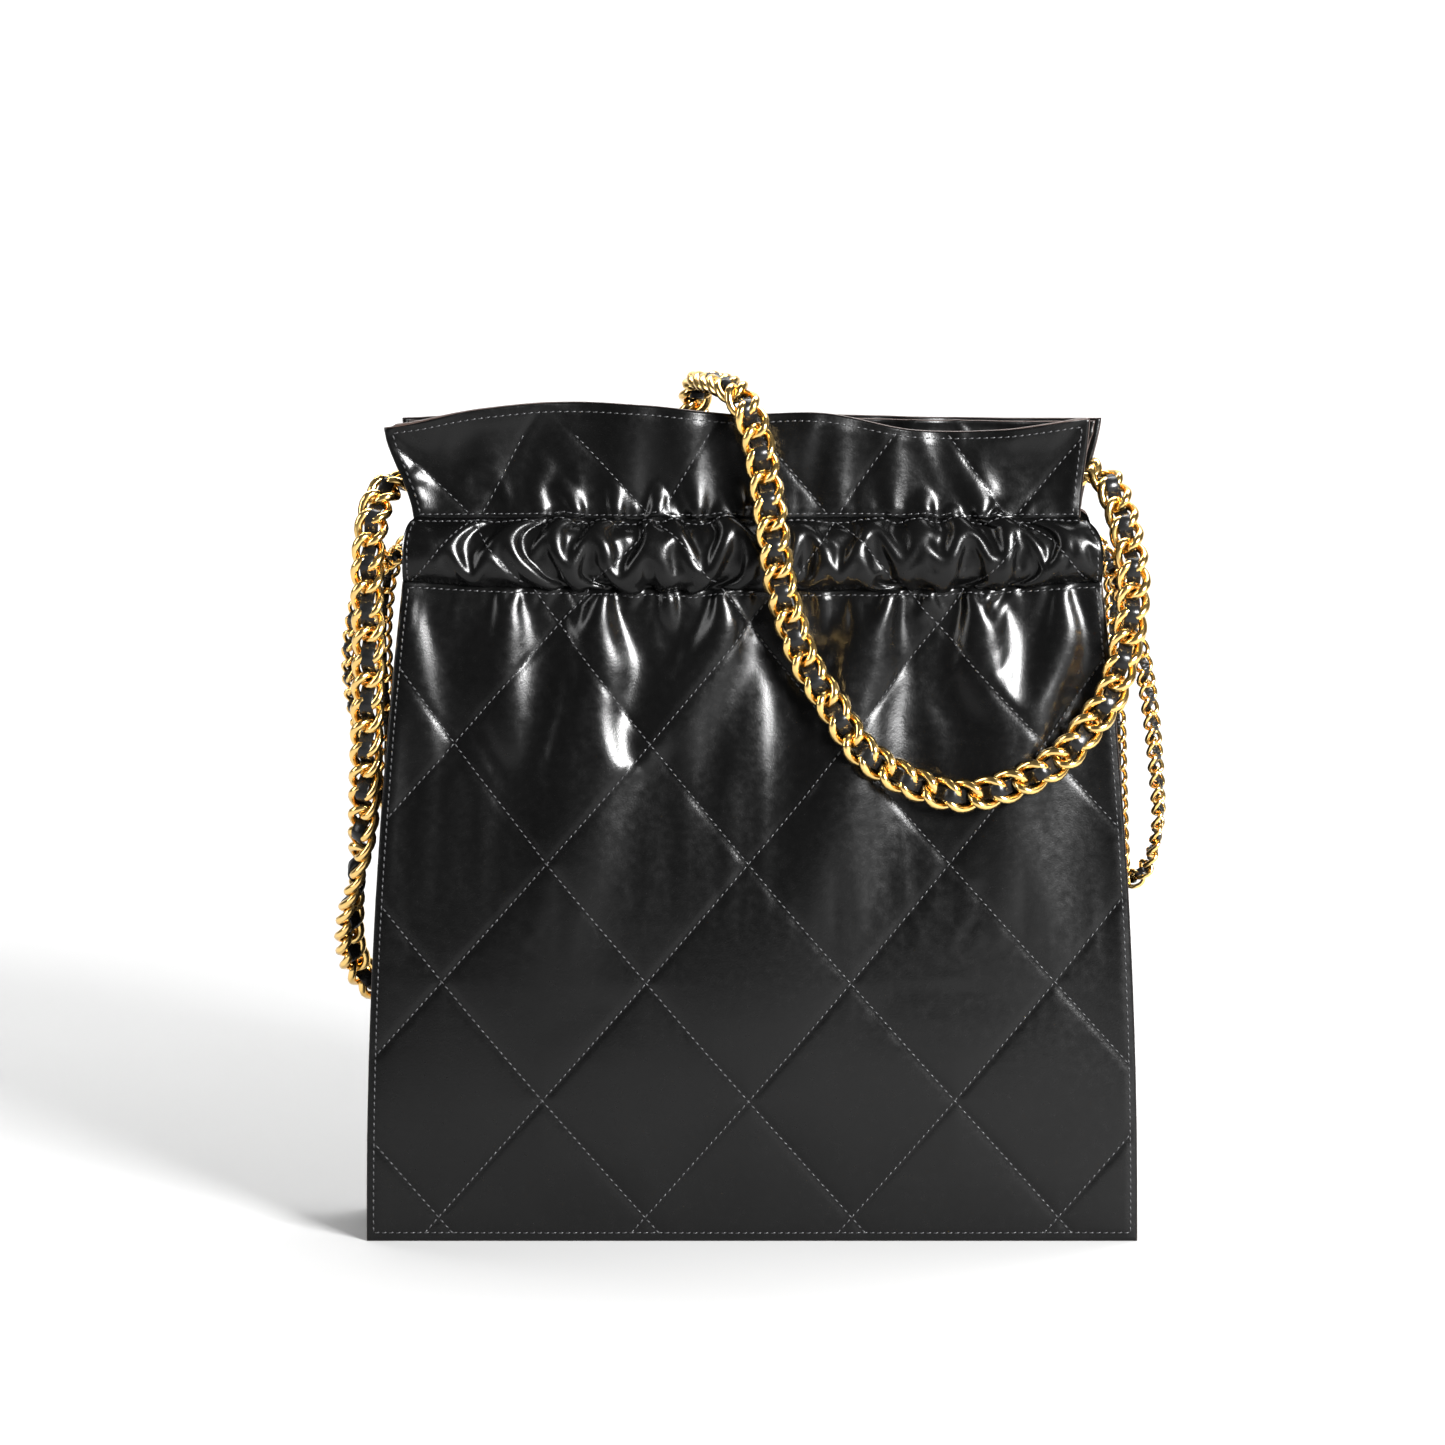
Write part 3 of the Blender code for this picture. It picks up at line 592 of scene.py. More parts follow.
def chain_ceiling(facing):
    """How far out the leather may come in each cell of x and z before it meets a chain."""
    x = CEILING_CELL * np.arange(CEILING_CELLS + 1) - CEILING_REACH
    z = CEILING_CELL * np.arange(CEILING_CELLS + 1)
    ceiling = np.full((len(x), len(z)), OPEN)
    reach = SHOULDER_LINK["half_width"] + SHOULDER_LINK["wire"]
    rise = CHAIN_HALF_THICKNESS / reach**2
    for route in (SHOULDER_FRONT_ROUTE, SHOULDER_BACK_ROUTE):
        path, _ = smooth_path(route, 0.002)
        for px, py, pz in path[path[:, 1] * facing > 0.03]:
            square = (x[:, None] - px) ** 2 + (z[None, :] - pz) ** 2
            near = abs(py) - CHAIN_HALF_THICKNESS + 0.5 * rise * square
            ceiling = np.minimum(ceiling, np.where(square < 2 * reach**2, near, OPEN))
    return ceiling


def settle(points, home_x, wider, height, free, sweeps, links, limit):
    """Moves the sheet's points until neighbours are as far apart as in the flat leather.

    Across, that is as far as at home_x and then wider by that share; up, it is as far as height.
    """
    pairs = []
    rows, columns = points.shape[:2]
    for down, across, share in links:
        axis_length = rows if down else columns
        step = down or across
        for start in range(2 * step):
            first = np.arange(start, axis_length - step, 2 * step)
            if not len(first):
                continue
            if down == 0:
                a = (slice(None), slice(first[0], first[-1] + 1, 2 * step))
                b = (slice(None), slice(first[0] + step, first[-1] + step + 1, 2 * step))
            else:
                lower = slice(first[0], first[-1] + 1, 2 * step)
                upper = slice(first[0] + step, first[-1] + step + 1, 2 * step)
                left = slice(0, columns - abs(across))
                right = slice(abs(across), columns)
                a = (lower, left if across >= 0 else right)
                b = (upper, right if across >= 0 else left)
            share_wider = (wider[a] + wider[b]) / 2
            rest = np.hypot((home_x[b] - home_x[a]) * (1 + share_wider), height[b] - height[a])
            weight = np.maximum(free[a] + free[b], 1)
            pairs.append((a, b, rest, share * free[a] / weight, share * free[b] / weight))
    for sweep in range(sweeps):
        for a, b, rest, move_a, move_b in pairs:
            gap = points[b] - points[a]
            length = np.sqrt((gap * gap).sum(-1))
            pull = 1 - rest / np.maximum(length, 1e-9)
            points[a] += gap * (pull * move_a)[..., None]
            points[b] -= gap * (pull * move_b)[..., None]
        limit(points)
    return points


class Sheet:
    """The settled leather of one face of the bag."""

    def __init__(self, facing):
        self.facing = facing
        self.ceiling = chain_ceiling(facing)
        points = None
        for level, sweeps in SETTLING:
            u, r = self.grid(level)
            home = sewn_place(u, r, facing)
            height = flat_height(u, r, facing)
            wider = extra_leather(home[..., 0], r, facing)
            free = np.ones(u.shape)
            free[0] = 0
            free[:, 0] = 0
            free[:, -1] = 0
            if points is None:
                points = home.copy()
                quiet = smooth_step((1 - np.abs(u)) / 0.06) * smooth_step(r / 0.1)
                points[..., 1] += first_folds(-facing * home[..., 0], u, r, facing) * quiet
            else:
                points = self.refine(points, u.shape)
                points[0] = home[0]
                points[:, 0] = home[:, 0]
                points[:, -1] = home[:, -1]
            links = [(0, 1, 1.0), (1, 0, 1.0), (1, 1, 0.5), (1, -1, 0.5)]
            links += [(0, 2, 0.7), (2, 0, 0.7), (0, 4, 0.3), (4, 0, 0.2)]
            limit = self.limits(home, u, r, level)
            settle(points, home[..., 0], wider, height, free, sweeps, links, limit)
        self.u, self.r = u, r
        self.local = points
        self.dress()

    def grid(self, level):
        """u and r of each point of the sheet, at every level-th row and column."""
        r = np.concatenate(
            [
                np.linspace(0, 1, PANEL_ROWS // level + 1),
                1 + np.linspace(0, 1, CASING_ROWS // level + 1)[1:],
                2 + np.linspace(0, 1, BAND_ROWS // level + 1)[1:],
            ]
        )
        u = np.linspace(-1, 1, SHEET_COLUMNS // level + 1)
        return np.meshgrid(u, r)

    def refine(self, points, shape):
        """The same sheet with more rows and columns."""
        rows = np.linspace(0, points.shape[0] - 1, shape[0])[:, None]
        columns = np.linspace(0, points.shape[1] - 1, shape[1])[None, :]
        return sample(points, rows, columns)

    def limits(self, home, u, r, level):
        """A function that holds the points near their places, in the seams and off the chains."""
        edge = smooth_step((1 - np.abs(u)) / 0.10)
        foot = smooth_step(r / 0.12)
        v = np.clip(r - 2, 0, 1)
        foot = foot * (0.06 + 0.94 * smooth_step((r - 0.25) / 0.40))
        out, back = (
            np.where(r < 1, panel * foot, np.where(r < 2, casing, band + hem * v))
            for panel, casing, band, hem in zip(PANEL_PLAY, CASING_PLAY, BAND_PLAY, HEM_PLAY)
        )
        seams = [PANEL_ROWS // level, (PANEL_ROWS + CASING_ROWS) // level]
        for seam in seams:
            out[seam] = back[seam] = SEAM_PLAY
        high = home[..., 1] + out * edge
        low = home[..., 1] - back * edge
        casing = slice(seams[0] + 1, seams[1])
        side = self.facing

        def limit(points):
            x = np.rint((-side * points[..., 0] + CEILING_REACH) / CEILING_CELL).astype(int)
            z = np.rint(points[..., 2] / CEILING_CELL).astype(int)
            roof = self.ceiling[np.clip(x, 0, CEILING_CELLS), np.clip(z, 0, CEILING_CELLS)]
            points[..., 1] = np.clip(points[..., 1], low, np.minimum(high, roof))
            for seam in seams:
                points[seam, :, 0] = home[seam, :, 0]
                points[seam, :, 2] = home[seam, :, 2]
            up = home[casing, :, 2]
            points[casing, :, 2] = np.clip(points[casing, :, 2], up - ROW_PLAY, up + ROW_PLAY)
            points[-1, :, 2] = hem_height(-side * points[-1, :, 0], side)

        return limit

    def dress(self):
        """Adds the quilting along the normals and turns the sheet to its face of the bag."""
        world = self.to_world(self.local)
        for _ in range(2):
            world[1:-1, 1:-1] += 0.25 * (
                (world[2:, 1:-1] + world[:-2, 1:-1] + world[1:-1, 2:] + world[1:-1, :-2]) / 4
                - world[1:-1, 1:-1]
            )
        normals = grid_normals(world)
        inner = smooth_step((1 - np.abs(self.u)) / 0.03) * smooth_step(self.r / 0.02)
        seams = np.minimum(np.abs(self.r - 1) / 0.012, np.abs(self.r - 2) / 0.10)
        inner = inner * smooth_step(seams) * smooth_step((3 - self.r) / 0.15)
        puff = quilting(*quilt_place(self.u, self.r, self.facing)) * inner
        self.world = world + normals * puff[..., None]
        self.normals = grid_normals(self.world)

    def to_world(self, local):
        world = local.copy()
        world[..., 0] *= -self.facing
        world[..., 1] *= self.facing
        return world

    def at(self, u, r):
        """Points and normals at places on the sheet."""
        rows = np.interp(r, self.r[:, 0], np.arange(len(self.r)))
        columns = (np.clip(u, -1, 1) + 1) / 2 * SHEET_COLUMNS
        return [sample(values, rows, columns) for values in (self.world, self.normals)]

    def share_of(self, flat_x, flat_z):
        """u and r of a place in the quilting, seen from outside this face."""
        u = flat_x / QUILT_HALF_WIDTH
        height = hem_height(-self.facing * u * HEM_HALF_WIDTH, self.facing) - TOP_HEIGHT
        cut = flat_z
        for _ in range(5):
            casing_r = 1 + (cut - SEAM_HEIGHT) / CASING_ARC
            band_r = 2 + (cut - SEAM_HEIGHT - CASING_ARC) / height
            r = np.where(cut < SEAM_HEIGHT, cut / SEAM_HEIGHT, np.minimum(casing_r, 2))
            r = np.where(casing_r > 2, band_r, r)
            cut = flat_z + CUT_SAG * seam_sag(u, r)
        return u, r


def grid_normals(points):
    across = np.gradient(points, axis=1)
    up = np.gradient(points, axis=0)
    normals = np.cross(across, up)
    return normals / np.maximum(np.linalg.norm(normals, axis=-1), 1e-12)[..., None]


def quilting(x, z):
    """Height of the padded diamonds, with a narrow groove along the stitch lines."""
    p = (x - DIAMOND_X) / DIAMOND_WIDTH
    q = (z - DIAMOND_Z) / DIAMOND_HEIGHT
    per_metre = math.hypot(1 / DIAMOND_WIDTH, 1 / DIAMOND_HEIGHT)
    nearest = np.minimum(np.abs(p + q - np.round(p + q)), np.abs(p - q - np.round(p - q))) / per_metre
    pillow = PILLOW_HEIGHT * (1 - np.exp(-nearest / PILLOW_WIDTH))
    groove = GROOVE_DEPTH * (1 - np.exp(-((nearest / GROOVE_WIDTH) ** 2)))
    return pillow + groove


def add_shell(name, outer, thickness, material=None, closed=False, inward=None, **where):
    """A sheet given a thickness behind outer[row, column], with a rounded, painted edge."""
    rows, columns = outer.shape[:2]
    normals = grid_normals(outer) if inward is None else -inward
    inner = outer - normals * thickness
    count = rows * columns
    faces = grid_faces(rows, columns, closed)
    around = []
    if closed:
        for row in (0, rows - 1):
            loop = row * columns + np.arange(columns)
            around.append(loop if row else loop[::-1])
    else:
        bottom = np.arange(columns)
        right = np.arange(1, rows) * columns + columns - 1
        top = (rows - 1) * columns + np.arange(columns - 1)[::-1]
        left = np.arange(rows - 1)[::-1] * columns
        around.append(np.concatenate([bottom, right, top, left[:-1]]))
    points = [outer.reshape(-1, 3), inner.reshape(-1, 3)]
    rims = []
    used = 2 * count
    for loop in around:
        ahead = np.roll(loop, -1)
        middle = (points[0][loop] + points[1][loop]) / 2
        along = points[0][ahead] - points[0][np.roll(loop, 1)]
        out = np.cross(along, normals.reshape(-1, 3)[loop])
        out /= np.maximum(np.linalg.norm(out, axis=1), 1e-12)[:, None]
        points.append(middle + out * min(0.0003, thickness * 0.3))
        ring = used + np.arange(len(loop))
        ring_ahead = np.roll(ring, -1)
        rims.append(np.stack([loop, ring, ring_ahead, ahead], 1))
        rims.append(np.stack([ring, loop + count, ahead + count, ring_ahead], 1))
        used += len(loop)
    rims = np.vstack(rims)
    every = np.vstack([faces, faces[:, ::-1] + count, rims])
    obj = add_mesh(name, np.vstack(points), every, material or CALF, **where)
    obj.data.materials.append(EDGE)
    index = np.zeros(len(every), np.int32)
    index[-len(rims):] = 1
    obj.data.polygons.foreach_set("material_index", index)
    return obj


# ---------------------------------------------------------------- stitches


def capsule(length, radius, sides=6):
    """A short rounded rod along X."""
    rings = [(-0.5, 0.35), (-0.38, 0.9), (0.0, 1.0), (0.38, 0.9), (0.5, 0.35)]
    angles = np.arange(sides) * 2 * math.pi / sides
    points = []
    for along, share in rings:
        sag = -1.2 * radius * abs(along * 2) ** 2
        for angle in angles:
            across, up = share * radius * math.cos(angle), share * radius * math.sin(angle)
            points.append((along * length, across, up + sag))
    return np.array(points), grid_faces(len(rings), sides, closed=True)


def stitch_row(surface, start, end):
    """Centres, directions and normals of the stitches from start to end on surface(a, b)."""
    start = np.asarray(start, float)
    end = np.asarray(end, float)
    samples = np.linspace(0, 1, 500)
    track = start + (end - start) * samples[:, None]
    line, _ = surface(track[:, 0], track[:, 1])
    gone = np.concatenate([[0], np.cumsum(np.linalg.norm(np.diff(line, axis=0), axis=1))])
    count = max(1, int(gone[-1] / STITCH_PITCH))
    middles = (np.arange(count) + 0.5) * gone[-1] / count
    half = 0.5 * STITCH_LENGTH
    ends = []
    for reach in (-half, half):
        share = np.interp(middles + reach, gone, samples)
        spot = start + (end - start) * share[:, None]
        ends.append(surface(spot[:, 0], spot[:, 1]))
    centres = (ends[0][0] + ends[1][0]) / 2
    along = ends[1][0] - ends[0][0]
    return centres, along, ends[0][1] + ends[1][1]


def outline_rows(surface, left, right, low, high):
    """Stitch rows along the four sides of a rectangle on surface(a, b)."""
    level = [stitch_row(surface, (left, b), (right, b)) for b in (low, high)]
    return level + [stitch_row(surface, (a, low), (a, high)) for a in (left, right)]


def flat_surface(middle, facing, axis):
    """A flat face at a level of y (axis 1) or z (axis 2), for stitch_row."""
    normal = np.zeros(3)
    normal[axis] = facing

    def surface(a, b):
        level = 0 * a + middle
        spots = np.stack([a, level, b] if axis == 1 else [a, b, level], 1)
        return spots, np.broadcast_to(normal, spots.shape)

    return surface


def add_stitches(name, rows, **where):
    """One mesh of slightly slanted stitches at the given rows."""
    centres, along, up = (np.concatenate(parts) for parts in zip(*rows))
    along = along / np.maximum(np.linalg.norm(along, axis=1), 1e-9)[:, None]
    side = np.cross(up, along)
    side /= np.maximum(np.linalg.norm(side, axis=1), 1e-9)[:, None]
    up = np.cross(along, side)
    turned = along * math.cos(STITCH_SLANT) + side * math.sin(STITCH_SLANT)
    side = np.cross(up, turned)
    frames = np.stack([turned, side, up], 1)
    template, faces = capsule(STITCH_LENGTH, STITCH_RADIUS)
    points, faces = copies(template, faces, frames, centres + up * STITCH_LIFT)
    return add_mesh(name, points, faces, THREAD, slot="black_calf", **where)


def quilt_rows(low_z, high_z, half, facing):
    """Ends, in the flat leather, of the slanting stitch lines between two heights."""
    found = []
    for slope in (-1, 1):
        for k in range(-9, 10):
            z = np.linspace(low_z, high_z, 400)
            x = DIAMOND_X + (k + slope * (z - DIAMOND_Z) / DIAMOND_HEIGHT) * DIAMOND_WIDTH
            inside = np.abs(x) < half
            if inside.sum() < 5:
                continue
            spots = np.flatnonzero(inside)
            ends = [(-facing * x[spot], z[spot]) for spot in (spots[0], spots[-1])]
            found.append(ends)
    return found


# ---------------------------------------------------------------- pieces of the body


def make_face(side_name, facing):
    """The front or back of the bag: quilted panel, gathered casing, top band and their sewing."""
    sheet = Sheet(facing)
    seam, top_seam = PANEL_ROWS, PANEL_ROWS + CASING_ROWS
    panel = add_shell(
        f"{side_name}_quilted_panel",
        sheet.world[: seam + 1],
        LEATHER,
        body="bag_body",
        slot="black_calf",
    )
    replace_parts(panel, f"{side_name}_panel")
    make_casing(side_name, facing, sheet, seam, top_seam)
    band_points = sheet.world[top_seam:]
    band = add_shell(
        f"{side_name}_gathered_band", band_points, TOP_BAND, body=f"{side_name}_top", slot="black_calf"
    )
    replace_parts(band, f"{side_name}_top_band")
    normals = grid_normals(band_points)
    facing_points = (band_points - normals * (TOP_BAND + 0.0003))[:-1, 2:-2]
    inside = add_shell(
        f"{side_name}_band_facing", facing_points, FACING, body=f"{side_name}_top", slot="black_calf"
    )
    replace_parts(inside, f"{side_name}_top_facing")
    sew_face(side_name, facing, sheet)
    return sheet


def make_casing(side_name, facing, sheet, seam, top_seam):
    """The drawstring tube: gathered outside from the sheet, closed by a plainer inside."""
    outside = sheet.world[seam : top_seam + 1].copy()
    turn = np.linspace(0, math.pi, 22)[1:-1][:, None, None]
    foot, head = outside[0][None], outside[-1][None]
    middle = (foot + head) / 2
    reach = (head - foot) / 2
    inward = np.array([0.0, -facing, 0.0]) * (2 * CASING_RADIUS_Y - 0.0105)
    inside = middle + reach * np.cos(turn) + inward * np.sin(turn)
    ring = np.concatenate([outside, inside]).transpose(1, 0, 2)
    ring[0] = lerp(ring[1], ring[0], 0.9)
    casing = add_shell(
        f"{side_name}_gathered_casing",
        ring[::-1],
        LEATHER,
        closed=True,
        inward=ring_inward(ring[::-1]),
        body="bag_body",
        slot="black_calf",
    )
    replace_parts(casing, f"{side_name}_casing")


def ring_inward(ring):
    """Directions towards the middle of a tube given as rings."""
    across = np.roll(ring, -1, axis=1) - np.roll(ring, 1, axis=1)
    along = np.gradient(ring, axis=0)
    inward = np.cross(across, along)
    inward /= np.maximum(np.linalg.norm(inward, axis=-1), 1e-12)[..., None]
    centre = ring.mean(axis=1, keepdims=True)
    turned = np.sum(inward * (centre - ring), axis=-1, keepdims=True)
    return inward * np.sign(turned.mean())


def sew_face(side_name, facing, sheet):
    """Stitches of one face: seams and edges by share of the sheet, quilting by place in the leather."""

    def by_flat(x, z):
        return sheet.at(*sheet.share_of(x, z))

    inset = EDGE_STITCH_INSET / BASE_HALF_WIDTH
    foot = (EDGE_STITCH_INSET + 0.0008) / SEAM_HEIGHT
    below = 1 - 0.0022 / SEAM_HEIGHT
    rows = outline_rows(sheet.at, -1 + inset, 1 - inset, foot, below)
    half = QUILT_HALF_WIDTH - EDGE_STITCH_INSET
    for start, end in quilt_rows(EDGE_STITCH_INSET, SEAM_HEIGHT - 0.0025, half, facing):
        rows.append(stitch_row(by_flat, start, end))
    add_stitches(f"{side_name}_panel_stitches", rows, body="bag_body")

    low, high = SEAM_HEIGHT + 0.002, SEAM_HEIGHT + CASING_ARC - 0.002
    rows = [
        stitch_row(sheet.at, (-0.985, 1.93), (0.985, 1.93)),
        stitch_row(sheet.at, (-0.985, 1.10), (-0.985, 1.90)),
        stitch_row(sheet.at, (0.985, 1.10), (0.985, 1.90)),
    ]
    for start, end in quilt_rows(low, high, half, facing):
        rows.append(stitch_row(by_flat, start, end))
    add_stitches(f"{side_name}_casing_stitches", rows, body="bag_body")

    low, high = SEAM_HEIGHT + CASING_ARC + 0.002, SEAM_HEIGHT + CASING_ARC + 0.0375
    rows = [
        stitch_row(sheet.at, (-0.980, 2.92), (0.980, 2.92)),
        stitch_row(sheet.at, (-0.980, 2.04), (-0.980, 2.92)),
        stitch_row(sheet.at, (0.980, 2.04), (0.980, 2.92)),
        stitch_row(sheet.at, (-0.985, 2.035), (0.985, 2.035)),
    ]
    for start, end in quilt_rows(low, high, half, facing):
        rows.append(stitch_row(by_flat, start, end))
    add_stitches(f"{side_name}_band_stitches", rows, body=f"{side_name}_top")


def make_gusset(side_name, side):
    """The side strip, with its edges turned out along the panels and a soft inward fold."""
    z = np.linspace(0.0004, SEAM_HEIGHT, 150)
    t = np.linspace(-1, 1, 60)
    grid_t, grid_z = np.meshgrid(t, z)
    reach = half_depth(grid_z) - LEATHER - GUSSET_GAP
    fold = SIDE_FOLD * grid_z / SEAM_HEIGHT
    y = np.sin(grid_t * math.pi / 2) * reach
    edge = np.abs(y) / reach
    wrinkle = 0.0011 * SLACK(y / 0.022 + 9, grid_z / 0.035 + side * 3) * (1 - edge)
    x = half_width(grid_z) - PANEL_EDGE - fold * (1 - edge**2) + wrinkle
    x = x + smooth_step((edge - 0.955) / 0.045) * (PANEL_EDGE - 0.0006)
    points = np.stack([side * x, side * y, grid_z], -1)
    gusset = add_shell(
        f"{side_name}_side_gusset", points, GUSSET_LEATHER, body="bag_body", slot="black_calf"
    )
    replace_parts(gusset, f"{side_name}_gusset")


def top_edge_x(side, z):
    """How far out the gusset's top reaches at height z."""
    v = np.clip((z - TOP_HEIGHT) / (GUSSET_TOP_HEIGHT - TOP_HEIGHT), 0, None)
    index = 0 if side == LEFT else 1
    return np.abs(lerp(FRONT_FOOT_X[index], FRONT_HEM_X[index], v)) - 0.004


def make_gusset_top(side_name, side):
    """The side strip above the body, folded in between the top bands, in two halves, one beside each band.
    """
    z = np.linspace(SEAM_HEIGHT + 0.0008, GUSSET_TOP_HEIGHT, 60)
    for half_name, facing in (("front", FRONT), ("back", BACK)):
        share = np.linspace(0, 1, 26)
        grid_share, grid_z = np.meshgrid(share, z)
        above = smooth_step((grid_z - TOP_HEIGHT + 0.003) / 0.008)
        depth = lerp(CASING_FOLD_DEPTH, TOP_FOLD_DEPTH, above)
        v = np.clip((grid_z - SEAM_HEIGHT) / (GUSSET_TOP_HEIGHT - SEAM_HEIGHT), 0, 1)
        fold = lerp(SIDE_FOLD, TOP_FOLD, np.minimum(1, 2 * v))
        softened = np.sqrt(grid_share**2 + 0.006) - math.sqrt(0.006)
        softened = softened / (math.sqrt(1.006) - math.sqrt(0.006))
        wrinkle = 0.0008 * SLACK(grid_share * 2 + 30, grid_z / 0.012) * np.sin(math.pi * grid_share)
        x = top_edge_x(side, grid_z) - fold * (1 - softened) + wrinkle
        points = np.stack([side * x, facing * depth * grid_share, grid_z], -1)
        if side * facing < 0:
            points = points[:, ::-1]
        name = f"{side_name}_gusset_top_{half_name}"
        strip = add_shell(name, points, GUSSET_LEATHER, slot="black_calf")
        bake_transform(strip)
        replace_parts(strip, f"{side_name}_gusset_top")


TAB_STITCH_INSET = 0.0012


def make_tab(side_name, side):
    """The leather tab that holds the strap's ring: a strap folded over it and sewn."""
    low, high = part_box(f"{side_name}_strap_tab")
    width = high[0] - low[0]
    thickness = high[1] - low[1]
    height = high[2] - low[2]
    middle = [(a + b) / 2 for a, b in zip(low, high)]
    angle = np.linspace(0, 2 * math.pi, 40, endpoint=False)
    rows = []
    for share in np.linspace(-1, 1, 15):
        taper = (1 - abs(share) ** 8) ** 0.5 if abs(share) < 1 else 0.0
        squeeze = max(taper, 0.30)
        across = np.sign(np.cos(angle)) * np.abs(np.cos(angle)) ** 0.35 * width / 2
        deep = np.sign(np.sin(angle)) * np.abs(np.sin(angle)) ** 0.5 * thickness / 2 * squeeze
        rows.append(
            np.stack([middle[0] + across, middle[1] + deep, middle[2] + share * height / 2 + 0 * deep], 1)
        )
    caps = [np.broadcast_to(rows[end].mean(0), rows[end].shape) for end in (0, -1)]
    points = np.stack([caps[0], *rows, caps[1]])
    tab = add_grid(
        f"{side_name}_sewn_tab", points, CALF, closed=True, body="bag_body", slot="black_calf"
    )
    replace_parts(tab, f"{side_name}_strap_tab")

    rows = []
    left, right = low[0] + TAB_STITCH_INSET, high[0] - TAB_STITCH_INSET
    bottom, top = low[2] + TAB_STITCH_INSET, high[2] - TAB_STITCH_INSET
    outer = left if side == RIGHT else right
    for facing in (FRONT, BACK):
        surface = flat_surface(middle[1] + facing * thickness / 2, facing, 1)
        for level in (bottom, top):
            rows.append(stitch_row(surface, (left, level), (right, level)))
        rows.append(stitch_row(surface, (outer, bottom), (outer, top)))
    add_stitches(f"{side_name}_tab_stitches", rows, body="bag_body")


def make_ring(side_name, side):
    """A cast ring with a slightly flattened wire, in place of the plain ring."""
    low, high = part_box(f"{side_name}_strap_ring")
    middle = Vector([(a + b) / 2 for a, b in zip(low, high)])
    wire = (high[1] - low[1]) / 2
    radius = (high[0] - low[0]) / 2 - wire
    angle = np.linspace(0, 2 * math.pi, 72, endpoint=False)[:, None]
    turn = np.linspace(0, 2 * math.pi, 16, endpoint=False)[None, :]
    bulge = 1 + 0.05 * np.cos(2 * turn)
    reach = radius + wire * np.cos(turn) * bulge
    points = np.stack(
        [
            middle.x + reach * np.cos(angle),
            middle.y + wire * np.sin(turn) + 0 * angle,
            middle.z + reach * np.sin(angle),
        ],
        -1,
    )
    points = np.concatenate([points, points[:1]])
    ring = add_grid(
        f"{side_name}_cast_ring", points, GOLD, closed=True, body="bag_body", slot="gold_metal"
    )
    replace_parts(ring, f"{side_name}_strap_ring")


def make_padding(side_name, sheet):
    """The thin felt behind the quilted leather."""
    inner = sheet.world[6 : PANEL_ROWS - 2, 14:-14]
    normals = sheet.normals[6 : PANEL_ROWS - 2, 14:-14]
    layer = add_shell(
        f"{side_name}_felt",
        (inner - normals * (LEATHER + 0.0002))[::2, ::2],
        0.0007,
        material=FELT,
        body="bag_body",
        slot="padding",
    )
    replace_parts(layer, f"{side_name}_padding")


def gusset_x(y, z):
    """How far out the gusset's inside is."""
    reach = half_depth(z) - LEATHER - 0.0019
    fold = SIDE_FOLD * z / SEAM_HEIGHT
    return half_width(z) - PANEL_EDGE - fold * (1 - np.minimum(1, np.abs(y) / reach) ** 2)


def make_lining():
    """The cloth bag inside, a little loose, with creases that only stand inwards."""
    heights = np.linspace(LINING_FOOT, SEAM_HEIGHT - 0.002, 90)
    across = np.linspace(-1, 1, 120)
    deep = np.linspace(-1, 1, 26)
    rings = []
    for z in heights:
        half_x = gusset_x(0.0, z) - 0.0022
        wall = half_depth(z, across * half_x / half_width(z)) - LINING_OFFSET
        crease_front = 0.0011 * (1 + SLACK(across * 7 + 3, z / 0.05)) * (1 - across**8)
        crease_back = 0.0011 * (1 + SLACK(across * 7 + 33, z / 0.05)) * (1 - across**8)
        near_zip = smooth_step((abs(z - ZIP_HEIGHT) - 0.012) / 0.020)
        ends = smooth_step((np.abs(across * half_x) - 0.088) / 0.020)
        crease_back = crease_back * np.maximum(near_zip, ends)
        front = np.stack([across * half_x, -wall + crease_front, 0 * across + z], 1)
        back = np.stack([across * half_x, wall - crease_back, 0 * across + z], 1)[::-1]
        side_y = deep * wall[-1]
        crease_side = 0.0008 * (1 + SLACK(side_y / 0.012 + 5, z / 0.03)) * (1 - deep**4)
        right = np.stack([half_x - crease_side, side_y, 0 * deep + z], 1)[1:-1]
        left = right[::-1] * np.array([-1.0, 1.0, 1.0])
        rings.append(np.concatenate([front, right, back, left]))
    rings = np.array(rings)
    low = rings[0]
    for share in (0.9, 0.6, 0.3, 0.02):
        rings = np.concatenate([(low * np.array([share, share, 1.0]))[None], rings])
    lining = add_grid(
        "creased_lining", rings, LINING_CLOTH, closed=True, body="bag_body", slot="lining"
    )
    thicken(lining, 0.0005)
    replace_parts(lining, "lining_bag")


def back_wall(x, z, offset):
    return np.stack(np.broadcast_arrays(x, half_depth(z, x / half_width(z)) - offset, z), -1)


